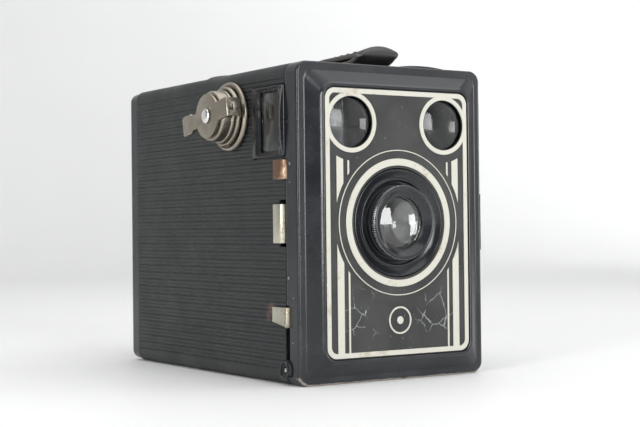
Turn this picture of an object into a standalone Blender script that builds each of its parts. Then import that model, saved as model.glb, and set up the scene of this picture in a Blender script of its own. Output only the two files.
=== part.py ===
"""Metal box camera for 6 x 9 cm pictures on 120 roll film, modelled piece by piece.

Frame: +X to the right seen from the front, +Y from the front to the back, +Z up. The origin
is the middle of the bottom face. Most sizes below are given as x, depth behind the front rim
and height above the lens axis, and at() turns those three into a point of that frame.
"""
import math

import bmesh
import bpy
from mathutils import Vector

# ---- Driving sizes, metres -------------------------------------------------------------
WIDTH = 0.0754
HEIGHT = 0.105
DEPTH = 0.1256
CORNER = 0.004              # radius of the four long edges
GAP = 0.0003                # clearance between pieces that touch
SHEET = 0.0008              # pressed steel of the case and the mechanism
COVERING = 0.0006           # thickness of the ribbed covering
RIB_PITCH = 0.0027
RIB_GROOVE = 0.0006         # width of the groove between two ribs
RIB_DEPTH = 0.00022
BACK_PANEL = 0.0005         # covering of the back
BACK_RIM = 0.0080           # painted band behind the ribbed covering

SKIRT = 0.0074              # depth of the door's skirt, where the seam to the case lies
SKIRT_WALL = 0.001
SKIRT_PLAY = 0.0005         # between the skirt and the collar inside it
FLOOR_INSET = 0.0082        # where the door's front floor begins
FLOOR_DEPTH = -0.0024       # the floor stands this far in front of the rim

GATE = (0.0285, 0.044)      # half width and half height of the picture
GATE_DEPTH = 0.1165         # where the film lies
THROAT = 0.011              # half width of the light cone's front opening
CONE_FRONT = 0.0110
SPOOL_DEPTH = 0.0424        # both spool axes
SPOOL_LENGTH = 0.0640
SPOOL_FLANGE = 0.0122
SPOOL_CORE = 0.0055
SPOOL_BORE = 0.0018
SPOOL_ROOM = 0.0009         # between a spool's flange and the case
CARRIER_PLAY = 0.0005       # between the stud heads and the case
STUD_PIN = 0.0014
STUD_HEAD = 0.0008
ROLLER_RADIUS = 0.0024
ROLLER_AXLE = 0.0010
ROLLER_SETBACK = 0.0039     # from the film plane to the rollers' axes
PLATE_HOLE = 0.0030         # for the key's shaft in the left side plate

LENS_RADIUS = 0.0088
APERTURE = 0.0048
SMALL_APERTURE = 0.0033
SHUTTER_HOLE = 0.0055
KNURL_RADIUS = 0.0124
KNURLS = 32
DISH_RADIUS = 0.0179
FINDER_CORNER = (0.0103, 0.0111)    # from the faceplate's edges to the middle of a finder lens
FINDER_GLASS = 0.0089
FINDER_HOLE = 0.00835
FINDER_LINE = 0.0100        # outside of the bright ring round a finder lens
LENS_LINES = ((0.0213, 0.0185), (0.0242, 0.0237))   # outside and inside of the rings round the lens
BARS = ((0.0223, 0.0250), (0.0198, 0.0208))         # inner and outer edge of the upright bars
BAR_CLEAR = 0.0258          # the bars keep out of this circle round the lens
BADGE = 0.0046              # plain ring and dot below the lens
BADGE_DOT = 0.0013
BADGE_HEIGHT = -0.0324
WINDOW_DEPTH = (0.0112, 0.0233)     # front and back edge of the finder windows
WINDOW_HALF = 0.0098
WINDOW_FRAME_BACK = 0.0276
RED_WINDOW = (0.0185, -0.024)       # x and height on the back
RED_WINDOW_RADIUS = 0.0050

BOARD = 0.0036              # front face of the shutter board
PIVOT_RADIUS = 0.0015
PIVOT_HEAD = 0.0028
DISC_ANGLE = -62.5          # direction of the shutter's pivot, seen from the lens axis
DISC_SWING = 96             # degrees that the shutter swings for one press
LEVER_X = 0.0035
LEVER_SWING = 5.95          # degrees each side of level
LEVER_TAB = 0.0066          # height of the lever's finger tab
STOP_STEP = 0.009           # travel between two stops of the aperture slide
STOP_HALF = 0.00635         # half height of the aperture slide
SELECT_Z = (0.0144, 0.0209)         # lower and upper edge of the time selector
STRIP = 0.0006              # thickness of levers and slides

KEY_HUB = 0.0079
KEY_FLANGE = 0.0119
KEY_CAP = 0.0103
KEY_DRUM = 0.0087
KEY_SHAFT = 0.0023
KEY_PLAY = 0.0003
KEY_TILT = -9.5             # degrees that the key plate leans from the level
BLADE = (0.0026, 0.0006)    # half width and half thickness of the key's blade

STRAP_WIDTH = 0.016
STRAP_THICKNESS = 0.0018
STRAP_SETBACK = 0.0215      # from the front and from the back to the strap's studs
STUD_RADIUS = 0.0015

HINGE_RADIUS = 0.00115
HINGE_HALF = 0.030
HINGE_KNUCKLE = 0.010       # half length of the door's knuckle
PIN_RADIUS = 0.0006
PIN_PLAY = 0.0002
CATCH_STUD = 0.0008
CATCH_LOW = 0.0050          # from the bottom edge to the middle of the catch
CATCH_WIRE = 0.00045

COARSE = 18                 # sides of ordinary round pieces
FINE = 32                   # sides of the large rings round the lens
MEDIUM = 24                 # sides of the key, the spool and the finder lenses
SMALL = 10                  # sides of pins and studs
CORNER_STEPS = 4

# ---- Sizes that follow -----------------------------------------------------------------
FRONT = -DEPTH / 2
MIDDLE = HEIGHT / 2
CASE_INSET = COVERING + GAP                     # case wall under the covering
COLLAR_INSET = SKIRT_WALL + SKIRT_PLAY
CAVITY_INSET = COLLAR_INSET + SHEET
CAVITY_X = WIDTH / 2 - CAVITY_INSET
CASE_BACK = DEPTH - BACK_PANEL - GAP
CAVITY_BACK = CASE_BACK - 1.5 * SHEET
SEAM_BACK = SKIRT + 0.0002
COVERING_BACK = DEPTH - BACK_RIM

FACE_X = WIDTH / 2 - FLOOR_INSET - GAP
FACE_Z = HEIGHT / 2 - FLOOR_INSET - GAP
FACE_BACK = FLOOR_DEPTH - GAP
FACE_GROUND = FACE_BACK - 0.0004
FACE_RELIEF = FACE_GROUND - 0.00025
FINDER_X = FACE_X - FINDER_CORNER[0]
FINDER_HEIGHT = FACE_Z - FINDER_CORNER[1]
FINDER_SPOTS = ((-FINDER_X, FINDER_HEIGHT), (FINDER_X, FINDER_HEIGHT))

PLATE_X = CAVITY_X - CARRIER_PLAY - STUD_HEAD - GAP - SHEET     # inner face of the side plates
SPOOL_HEIGHT = HEIGHT / 2 - CAVITY_INSET - SPOOL_ROOM - SPOOL_FLANGE
ROLLER_DEPTH = GATE_DEPTH - ROLLER_SETBACK
ROLLER_HEIGHT = GATE[1] + SHEET + ROLLER_RADIUS
STRAP_STUDS = (STRAP_SETBACK, DEPTH - STRAP_SETBACK)

BOARD_BACK = BOARD + SHEET
DISC_DEPTH = BOARD_BACK + 0.0005
LEVER_DEPTH = DISC_DEPTH + 0.0010
SELECTOR_DEPTH = LEVER_DEPTH + 0.0007
SLIDE_DEPTH = SELECTOR_DEPTH + 0.0018
TAB_X = -(WIDTH / 2 + 0.0006)                   # inner face of the finger tabs
DISC_THROW = LENS_RADIUS + PIVOT_HEAD + 0.0014  # from the lens axis to the shutter's pivot
DISC_RADIUS = DISC_THROW + SHUTTER_HOLE + 0.0015
DISC_PIVOT = (DISC_THROW * math.cos(math.radians(DISC_ANGLE)),
              DISC_THROW * math.sin(math.radians(DISC_ANGLE)))
LEVER_PIVOT = (LEVER_X, DISC_PIVOT[1] - DISC_RADIUS - PIVOT_RADIUS - 0.0017)
LEVER_DROP = (LEVER_X - TAB_X) * math.tan(math.radians(LEVER_SWING))
PRESS_REACH = LEVER_DROP + LEVER_TAB / 2                        # the tab's travel and half its height
PRESS_Z = (LEVER_PIVOT[1] - PRESS_REACH - 0.0018, LEVER_PIVOT[1] + PRESS_REACH + 0.0005)
STOP_Z = (-STOP_HALF, STOP_HALF)

KEY_AXIS = (SPOOL_DEPTH, SPOOL_HEIGHT)
KEY_FACE = WIDTH / 2 + GAP
KEY_FLANGE_TOP = KEY_FACE + 0.0016
KEY_CAP_TOP = KEY_FLANGE_TOP + GAP + 0.0014
KEY_DRUM_TOP = KEY_CAP_TOP + GAP + 0.0046

HINGE_X = WIDTH / 2 + GAP + HINGE_RADIUS + 0.00005
CATCH = (SKIRT + 0.0005, CATCH_LOW - HEIGHT / 2)
CATCH_STUD_SPOT = (SEAM_BACK + CATCH_STUD + GAP, CATCH[1])


# ---- Shapes ----------------------------------------------------------------------------
def at(x, depth, height):
    """Point given by x, depth behind the front rim and height above the lens axis."""
    return Vector((x, FRONT + depth, MIDDLE + height))


def arc(centre, radius, start, end, steps):
    """Points of an arc, both ends included, angles in degrees."""
    angles = [math.radians(start + (end - start) * i / steps) for i in range(steps + 1)]
    return [(centre[0] + radius * math.cos(a), centre[1] + radius * math.sin(a)) for a in angles]


def circle(centre, radius, steps=COARSE):
    """Points of a full circle."""
    return arc(centre, radius, 0, 360, steps)[:-1]


def rounded(half_width, half_height, radius, centre=(0, 0), steps=CORNER_STEPS):
    """Rectangle with round corners, counter-clockwise from its lower right corner."""
    points = []
    for turn, (sx, sy) in enumerate(((1, -1), (1, 1), (-1, 1), (-1, -1))):
        middle = (centre[0] + sx * (half_width - radius), centre[1] + sy * (half_height - radius))
        points += arc(middle, radius, 90 * turn - 90, 90 * turn, steps)
    return points


def box_outline(inset, radius=None):
    """Outline of the box, drawn in by an inset."""
    corner = max(CORNER - inset, 0.0006) if radius is None else radius
    return rounded(WIDTH / 2 - inset, HEIGHT / 2 - inset, corner)


def place(point, axis, level):
    """Point of an outline drawn across an axis: x is across depth, height; y x, height; z x, depth."""
    if axis == "x":
        return at(level, point[0], point[1])
    if axis == "y":
        return at(point[0], level, point[1])
    return at(point[0], point[1], level)


def skin(rings, wrap=False):
    """Skin matching rings of points; the ends are capped, or joined to each other."""
    bm = bmesh.new()
    loops = [[bm.verts.new(point) for point in ring] for ring in rings]
    pairs = list(zip(loops, loops[1:]))
    if wrap:
        pairs.append((loops[-1], loops[0]))
    for first, second in pairs:
        for i in range(len(first)):
            j = (i + 1) % len(first)
            bm.faces.new((first[i], first[j], second[j], second[i]))
    if not wrap:
        bm.faces.new(loops[0])
        bm.faces.new(loops[-1])
    bmesh.ops.recalc_face_normals(bm, faces=bm.faces)
    return bm


def slab(outline, axis, low, high):
    """Outline extruded along an axis."""
    return skin([[place(p, axis, level) for p in outline] for level in (low, high)])


def block(x, depth, height):
    """Box between pairs of x, depth and height."""
    corners = [(x[0], depth[0]), (x[1], depth[0]), (x[1], depth[1]), (x[0], depth[1])]
    return slab(corners, "z", *height)


def turned(profile, axis, centre, segments=COARSE):
    """Closed profile of (radius, level) points turned about an axis; a radius of 0 is a pole."""
    bm = bmesh.new()
    loops = []
    for radius, level in profile:
        if radius == 0:
            loops.append([bm.verts.new(place(centre, axis, level))])
        else:
            loops.append([bm.verts.new(place(p, axis, level)) for p in circle(centre, radius, segments)])
    for first, second in zip(loops, loops[1:] + loops[:1]):
        for i in range(segments):
            j = (i + 1) % segments
            corners = [first[i % len(first)], first[j % len(first)],
                       second[j % len(second)], second[i % len(second)]]
            corners = list(dict.fromkeys(corners))
            if len(corners) > 2:
                bm.faces.new(corners)
    bmesh.ops.recalc_face_normals(bm, faces=bm.faces)
    return bm


def bore(centre, radius, axis, low, high, segments=COARSE):
    """Round cutter."""
    return slab(circle(centre, radius, segments), axis, low, high)


def ring(centre, outer, inner, low, high, segments=COARSE, axis="y"):
    """Flat ring between two levels of an axis."""
    return turned([(inner, low), (outer, low), (outer, high), (inner, high)], axis, centre, segments)


def tube(path, radius, sides=8):
    """Round wire along a closed path of points."""
    rings = []
    count = len(path)
    for i, point in enumerate(path):
        along = (path[(i + 1) % count] - path[i - 1]).normalized()
        side = along.orthogonal().normalized() if abs(along.x) > 0.9 else along.cross(Vector((1, 0, 0)))
        side.normalize()
        up = along.cross(side)
        rings.append([point + radius * (math.cos(a) * side + math.sin(a) * up)
                      for a in (2 * math.pi * k / sides for k in range(sides))])
    return skin(rings, wrap=True)


# ---- Objects ---------------------------------------------------------------------------
FINISHES = {
    "black_paint": ((0.020, 0.023, 0.026), 0.38, 0.0),
    "covering": ((0.030, 0.034, 0.037), 0.62, 0.0),
    "black_enamel": ((0.014, 0.015, 0.015), 0.30, 0.0),
    "nickel": ((0.58, 0.55, 0.50), 0.30, 1.0),
    "brass": ((0.48, 0.30, 0.15), 0.40, 1.0),
    "steel": ((0.48, 0.48, 0.47), 0.38, 1.0),
    "spring_steel": ((0.30, 0.31, 0.33), 0.35, 1.0),
    "glass": ((0.80, 0.86, 0.88), 0.03, 0.0),
    "filter": ((0.90, 0.62, 0.06), 0.05, 0.0),
    "red_window": ((0.42, 0.02, 0.015), 0.10, 0.0),
    "mirror": ((0.85, 0.86, 0.87), 0.03, 1.0),
    "leather": ((0.018, 0.017, 0.017), 0.55, 0.0),
}


def finish(name):
    """Material of a finish."""
    color, roughness, metallic = FINISHES[name]
    material = bpy.data.materials.new(name)
    material.use_nodes = True
    shader = material.node_tree.nodes["Principled BSDF"]
    shader.inputs["Base Color"].default_value = (*color, 1)
    shader.inputs["Roughness"].default_value = roughness
    shader.inputs["Metallic"].default_value = metallic
    return material


def to_mesh(bm, name, origin):
    """Mesh drawn round an origin, with its round faces shaded smooth."""
    bmesh.ops.translate(bm, verts=bm.verts, vec=-origin)
    mesh = bpy.data.meshes.new(name)
    bm.to_mesh(mesh)
    bm.free()
    mesh.shade_smooth()
    mesh.set_sharp_from_angle(angle=math.radians(32))
    return mesh


def piece(name, bm, finish_name, pivot=None, parent=None):
    """Named piece with its origin at a pivot, under a parent."""
    origin = at(0, 0, 0) if pivot is None else pivot
    obj = bpy.data.objects.new(name, to_mesh(bm, name, origin))
    obj.data.materials.append(MATERIALS[finish_name])
    obj.location = origin
    if parent is not None:
        obj.parent = parent
        obj.location = origin - parent.location
    bpy.context.scene.collection.objects.link(obj)
    return obj


def shape(target, operation, helpers):
    """Cut helpers from a piece, or join them to it."""
    group = bpy.data.collections.new(f"{target.name}_{operation.lower()}")
    bpy.context.scene.collection.children.link(group)
    for index, bm in enumerate(helpers):
        name = f"{group.name}_{index}"
        helper = bpy.data.objects.new(name, to_mesh(bm, name, Vector((0, 0, 0))))
        helper.hide_render = True
        helper.display_type = "WIRE"
        group.objects.link(helper)
    modifier = target.modifiers.new(operation.title(), "BOOLEAN")
    modifier.solver = "EXACT"
    modifier.operation = operation
    modifier.operand_type = "COLLECTION"
    modifier.collection = group


def cut(target, *helpers):
    """Cut helpers from a piece."""
    shape(target, "DIFFERENCE", helpers)


def join(target, *helpers):
    """Join helpers to a piece that they overlap."""
    shape(target, "UNION", helpers)


def axis_empty(name, location):
    """Empty on a joint's axis, which carries the pieces that move together."""
    empty = bpy.data.objects.new(name, None)
    empty.empty_display_size = 0.01
    empty.location = location
    bpy.context.scene.collection.objects.link(empty)
    return empty


# ---- Notches where the finger tabs leave the box ----------------------------------------
NOTCHES = (
    (PRESS_Z[0], PRESS_Z[1], LEVER_DEPTH - GAP, 0.0082),
    (SELECT_Z[0] - GAP, SELECT_Z[1] + GAP, SELECTOR_DEPTH - GAP, 0.0089),
    (STOP_Z[0] - 0.0012, STOP_Z[1] + 0.0014, SLIDE_DEPTH - GAP, 0.0112),
)


def notch_cutters(from_front):
    """Notches in the left wall, from the collar's front edge or from where each strip runs."""
    cutters = []
    for low, high, strip, back in NOTCHES:
        start = -0.001 if from_front else strip
        cutters.append(block((-WIDTH / 2 - 0.002, -CAVITY_X + 0.002), (start, back), (low, high)))
    return cutters


# ---- Case ------------------------------------------------------------------------------
def finder_map(side):
    """Local frame of a finder: across its window, depth, and outwards from the camera's middle."""
    if side == "side":
        return lambda across, depth, out: at(-out, depth, across)
    return lambda across, depth, out: at(across, depth, out)


FINDERS = {
    # wall, window middle, half window, half frame, lens across, lens outwards
    "side": (WIDTH / 2, FINDER_HEIGHT + 0.0008, WINDOW_HALF, WINDOW_HALF + 0.00195, FINDER_HEIGHT, FINDER_X),
    "top": (HEIGHT / 2, FINDER_X - 0.0005, WINDOW_HALF, WINDOW_HALF + 0.0038, FINDER_X, FINDER_HEIGHT),
}
FRAME_FRONT = SEAM_BACK + 0.0001


def finder_block(side, across, depth, out):
    """Box in a finder's local frame."""
    to_point = finder_map(side)
    corners = [(across[0], depth[0]), (across[1], depth[0]), (across[1], depth[1]), (across[0], depth[1])]
    return skin([[to_point(a, d, level) for a, d in corners] for level in out])


def window_cutter(side):
    """Window opening through the wall."""
    wall, middle, half = FINDERS[side][:3]
    return finder_block(side, (middle - half, middle + half), WINDOW_DEPTH, (wall - 0.004, wall + 0.004))


def case_cutters(key_radius):
    """Openings that the case and its covering share."""
    key = bore((SPOOL_DEPTH, SPOOL_HEIGHT), key_radius, "x", -WIDTH / 2 - 0.002, -CAVITY_X + 0.002)
    return [key, *notch_cutters(True), *stud_cutters()]


def stud_cutters():
    """Holes for the strap's studs in the top."""
    return [bore((0, d), STUD_RADIUS + GAP, "z", HEIGHT / 2 - 0.004, HEIGHT / 2 + 0.001) for d in STRAP_STUDS]


def build_case():
    """Pressed box with its collar at the front and its closed back."""
    rim_inset = 0.0005
    outlines = [
        (CAVITY_INSET, 0.0009), (COLLAR_INSET, 0.0009), (COLLAR_INSET, SEAM_BACK), (CASE_INSET, SEAM_BACK),
        (CASE_INSET, COVERING_BACK + GAP), (rim_inset, COVERING_BACK + GAP), (rim_inset, CASE_BACK - 0.0016),
        (rim_inset + 0.0003, CASE_BACK - 0.0007), (rim_inset + 0.0008, CASE_BACK - 0.0002),
        (rim_inset + 0.0016, CASE_BACK),
    ]
    rings = [[at(x, depth, z) for x, z in box_outline(inset)] for inset, depth in outlines]
    cavity_back = [at(x, CAVITY_BACK, z) for x, z in box_outline(CAVITY_INSET)]
    case = piece("outer_case", skin([cavity_back, *rings]), "black_paint")
    window = bore(RED_WINDOW, RED_WINDOW_RADIUS + 0.001, "y", CAVITY_BACK - 0.001, DEPTH)
    cut(case, *case_cutters(KEY_HUB + GAP), window_cutter("side"), window_cutter("top"), window)
    return case


BOTTOM_TURN = 3                     # the outline starts on the right wall and goes round by the top


def ribbed_outline():
    """Box outline with a shallow groove between each two ribs; the side it stands on is plain."""
    points = []
    half_x = WIDTH / 2 - CORNER
    half_z = HEIGHT / 2 - CORNER
    for turn, (run, wall) in enumerate(((half_z, WIDTH / 2), (half_x, HEIGHT / 2)) * 2):
        angle = math.radians(90 * turn)
        count = int((run - RIB_GROOVE) / RIB_PITCH)
        middles = [] if turn == BOTTOM_TURN else [(i + 0.5) * RIB_PITCH for i in range(-count, count)]
        side = [(wall, -run)]
        for middle in middles:
            side += [(wall, middle - RIB_GROOVE / 2), (wall - RIB_DEPTH, middle),
                     (wall, middle + RIB_GROOVE / 2)]
        side.append((wall, run))
        side += arc((wall - CORNER, run), CORNER, 0, 90, CORNER_STEPS)[1:-1]
        points += [(x * math.cos(angle) - z * math.sin(angle), x * math.sin(angle) + z * math.cos(angle))
                   for x, z in side]
    return points


def build_covering():
    """Ribbed covering wrapped round the case, open at both ends."""
    outline = ribbed_outline()
    bm = slab(outline, "y", SEAM_BACK, COVERING_BACK)
    covering = piece("side_covering", bm, "covering")
    inside = slab(box_outline(COVERING), "y", SEAM_BACK - 0.001, COVERING_BACK + 0.001)
    frames = []
    for side, (wall, middle, _, half, _, _) in FINDERS.items():
        across = (middle - half - GAP, middle + half + GAP)
        depth = (SEAM_BACK - 0.001, WINDOW_FRAME_BACK + GAP)
        frames.append(finder_block(side, across, depth, (wall - 0.002, wall + 0.002)))
    catch = bore(CATCH_STUD_SPOT, CATCH_STUD + GAP, "x", -WIDTH / 2 - 0.001, -WIDTH / 2 + 0.001)
    cut(covering, inside, *case_cutters(KEY_HUB + GAP), *frames, catch)


def build_back():
    """Covered back panel, red window with its ring, and the pressure plate on its leaf spring."""
    inset = 0.0026
    outline = rounded(WIDTH / 2 - inset, HEIGHT / 2 - inset, CORNER - 0.001)
    panel = piece("back_covering", slab(outline, "y", CASE_BACK + GAP, DEPTH), "covering")
    cut(panel, bore(RED_WINDOW, RED_WINDOW_RADIUS + 0.0026, "y", CASE_BACK - 0.001, DEPTH + 0.001))
    inner = RED_WINDOW_RADIUS
    outer = inner + 0.0022
    profile = [(inner, CAVITY_BACK), (inner + 0.0007, CAVITY_BACK), (inner + 0.0007, CASE_BACK + GAP),
               (outer, CASE_BACK + GAP), (outer, DEPTH), (outer - 0.0006, DEPTH + 0.0005),
               (inner, DEPTH + 0.0001)]
    piece("red_window_ring", turned(profile, "y", RED_WINDOW), "black_paint")
    pane_back = CAVITY_BACK - GAP
    pane = slab(circle(RED_WINDOW, inner + 0.0018), "y", pane_back - SHEET, pane_back)
    piece("red_window_pane", pane, "red_window")
    plate_front = GATE_DEPTH + 0.0006
    plate = slab(rounded(GATE[0] + 0.002, GATE[1] + 0.0005, 0.002), "y", plate_front, plate_front + 0.0006)
    plate = piece("pressure_plate", plate, "black_paint")
    cut(plate, bore(RED_WINDOW, inner + 0.001, "y", plate_front - 0.001, plate_front + 0.002))
    spring_back = pane_back - SHEET - GAP
    spring_front = plate_front + 0.0006 + GAP
    bow = spring_back - spring_front - 0.0004
    length = 0.030
    line = [(length * t, spring_front + bow * (1 - t * t)) for t in (i / 8 for i in range(-8, 9))]
    outline = line + [(z, d + 0.0004) for z, d in reversed(line)]
    rings = [[at(x, d, z) for z, d in outline] for x in (-0.006, 0.006)]
    piece("pressure_spring", skin(rings), "spring_steel")


def build_finder(side):
    """Window frame with its hood, window glass, mirror and sheet housing of one finder."""
    wall, middle, half, frame_half, lens_across, lens_out = FINDERS[side]
    to_point = finder_map(side)
    proud = 0.0004
    seat = wall - CASE_INSET + GAP
    frame_bm = finder_block(side, (middle - frame_half, middle + frame_half),
                            (FRAME_FRONT, WINDOW_FRAME_BACK), (seat, wall + proud))
    frame = piece(f"{side}_finder_frame", frame_bm, "black_paint")
    hood_rings = []
    hood_steps = 12
    hood_rise = 0.0020
    for i in range(hood_steps + 1):
        share = i / hood_steps
        across = middle + (2 * share - 1) * (frame_half - 0.0002)
        rise = proud + hood_rise * math.sin(math.pi * share)
        front = FRAME_FRONT + 0.0002
        section = [(front, seat + 0.0002), (front, wall + rise), (front + 0.0012, wall + rise),
                   (front + 0.0034, wall + proud - 0.0001), (front + 0.0034, seat + 0.0002)]
        hood_rings.append([to_point(across, depth, out) for depth, out in section])
    join(frame, skin(hood_rings))
    cut(frame, window_cutter(side))
    glass_out = wall - CAVITY_INSET - GAP
    rim = 0.0008
    glass = finder_block(side, (middle - half - rim, middle + half + rim),
                         (WINDOW_DEPTH[0] - rim, WINDOW_DEPTH[1] + rim), (glass_out - 0.0008, glass_out))
    piece(f"{side}_finder_window", glass, "glass")
    reach = 0.0100
    box_out = glass_out - 0.0008 - GAP
    box_front = SEAM_BACK + 0.0006
    box_back = WINDOW_DEPTH[1] + 0.0046
    corner = lens_out + box_back - sum(WINDOW_DEPTH) / 2 - 0.0015    # where the slanted wall meets the back
    slant_foot = corner - (box_back - box_front)

    def section(shift, front, out):
        """Housing outline, with its slanted wall moved towards the window by a shift."""
        return [(slant_foot + shift - (box_front - front), front), (out, front), (out, box_back - shift),
                (corner, box_back - shift)]

    def prism(outline, low, high):
        return skin([[to_point(across, depth, out) for out, depth in outline] for across in (low, high)])

    housing = prism(section(0, box_front, box_out), lens_across - reach, lens_across + reach)
    housing = piece(f"{side}_finder_housing", housing, "black_paint")
    cheek = 0.0006
    wall_shift = SHEET * math.sqrt(2)
    cut(housing, prism(section(wall_shift, box_front - 0.001, box_out + 0.002),
                       lens_across - reach + cheek, lens_across + reach - cheek))
    near = wall_shift + GAP * math.sqrt(2)
    far = near + 0.001 * math.sqrt(2)
    tip = 0.0012
    mirror = [(slant_foot + shift + d, box_front + d) for shift, d in
              ((near, tip), (far, tip), (far, box_back - box_front - far - tip),
               (near, box_back - box_front - far - tip))]
    piece(f"{side}_finder_mirror", prism(mirror, lens_across - reach + 0.001, lens_across + reach - 0.001),
          "mirror")


# ---- Film carrier inside the case --------------------------------------------------------
def build_carrier():
    """Light cone with the film gate, and the two side plates that hold spools and rollers."""
    front = CONE_FRONT
    lip = 0.0045
    flange = (PLATE_X - GAP, GATE[1] + 0.0022)
    rings = [
        (THROAT, THROAT, front), (THROAT + lip, THROAT + lip, front),
        (THROAT + lip, THROAT + lip, front + SHEET),
        (THROAT + SHEET, THROAT + SHEET, front + SHEET),
        (GATE[0] + SHEET, GATE[1] + SHEET, GATE_DEPTH - SHEET), (*flange, GATE_DEPTH - SHEET),
        (*flange, GATE_DEPTH), (*GATE, GATE_DEPTH),
    ]
    corner = 0.0006
    cone = [[at(x, depth, z) for x, z in rounded(a, b, corner, steps=2)] for a, b, depth in rings]
    piece("light_cone", skin(cone, wrap=True), "black_paint")
    for name, sign in (("carrier_plate_left", -1), ("carrier_plate_right", 1)):
        nose = SPOOL_DEPTH - 0.0095
        top = SPOOL_HEIGHT + 0.0095
        rear_top = HEIGHT / 2 - CAVITY_INSET - 0.0005
        half = [(nose, top - 0.016), (nose, top - 0.004)]
        half += arc((nose + 0.004, top - 0.004), 0.004, 180, 90, 4)[1:]
        half += [(ROLLER_DEPTH - 0.012, rear_top), (GATE_DEPTH, rear_top)]
        waist = [(nose + 0.014, 0.012)]
        outline = [(d, -z) for d, z in reversed(waist + half)] + waist + half
        inner = sign * PLATE_X
        outer = sign * (PLATE_X + SHEET)
        plate = piece(name, slab(outline, "x", inner, outer), "steel")
        low, high = sorted((inner, outer))
        spots = []
        for turn in (1, -1):
            spots.append(((ROLLER_DEPTH, turn * ROLLER_HEIGHT), ROLLER_AXLE + 0.00015))
            spots.append(((SPOOL_DEPTH, turn * SPOOL_HEIGHT), STUD_PIN + GAP))
        if sign < 0:
            spots[1] = ((SPOOL_DEPTH, SPOOL_HEIGHT), PLATE_HOLE)
        cut(plate, *[bore(c, r, "x", low - 0.001, high + 0.001, SMALL) for c, r in spots])


def build_studs():
    """Headed studs that the spools turn on."""
    head = (PLATE_X + SHEET + GAP, PLATE_X + SHEET + GAP + STUD_HEAD)
    tip = SPOOL_LENGTH / 2 - 0.004
    for name, sign, height in (("take_up_stud", 1, SPOOL_HEIGHT), ("supply_stud_left", -1, -SPOOL_HEIGHT),
                               ("supply_stud_right", 1, -SPOOL_HEIGHT)):
        profile = [(0, head[1]), (0.0036, head[1]), (0.004, head[1] - 0.0003), (0.004, head[0]),
                   (STUD_PIN, head[0]), (STUD_PIN, tip + 0.0005), (STUD_PIN - 0.0005, tip), (0, tip)]
        profile = [(r, sign * level) for r, level in profile]
        piece(name, turned(profile, "x", (SPOOL_DEPTH, height), SMALL), "steel")


def build_spool():
    """Empty take-up spool with a key slot in one end and the film slot through its core."""
    half = SPOOL_LENGTH / 2
    depth = 0.005
    flange = 0.001
    profile = [(0, half - depth), (SPOOL_BORE, half - depth), (SPOOL_BORE, half), (SPOOL_FLANGE, half),
               (SPOOL_FLANGE, half - flange), (SPOOL_CORE, half - flange)]
    profile += [(r, -level) for r, level in reversed(profile)]
    axis = at(0, SPOOL_DEPTH, SPOOL_HEIGHT)
    spool = piece("take_up_spool", turned(profile, "x", KEY_AXIS, COARSE), "black_paint", axis)
    slot = block((-half - 0.001, -half + depth), (SPOOL_DEPTH - BLADE[1] - GAP, SPOOL_DEPTH + BLADE[1] + GAP),
                 (SPOOL_HEIGHT - BLADE[0] - 0.001, SPOOL_HEIGHT + BLADE[0] + 0.001))
    film_slot = block((-0.020, 0.020), (SPOOL_DEPTH - 0.0005, SPOOL_DEPTH + 0.0005),
                      (SPOOL_HEIGHT - 0.008, SPOOL_HEIGHT + 0.008))
    cut(spool, slot, film_slot)


def build_rollers():
    """Free rollers that turn the film round the gate's upper and lower edges."""
    half = PLATE_X - 0.0005
    end = PLATE_X + SHEET + 0.0004
    for name, sign in (("film_roller_top", 1), ("film_roller_bottom", -1)):
        profile = [(0, end), (ROLLER_AXLE, end), (ROLLER_AXLE, half), (ROLLER_RADIUS, half)]
        profile += [(r, -level) for r, level in reversed(profile)]
        centre = (ROLLER_DEPTH, sign * ROLLER_HEIGHT)
        piece(name, turned(profile, "x", centre, SMALL), "nickel", at(0, *centre))


# ---- Winding key -------------------------------------------------------------------------
def turned_key(profile, segments=MEDIUM):
    """Profile of (radius, distance from the camera's middle) turned about the key's axis."""
    return turned([(r, -level) for r, level in profile], "x", KEY_AXIS, segments)


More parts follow.
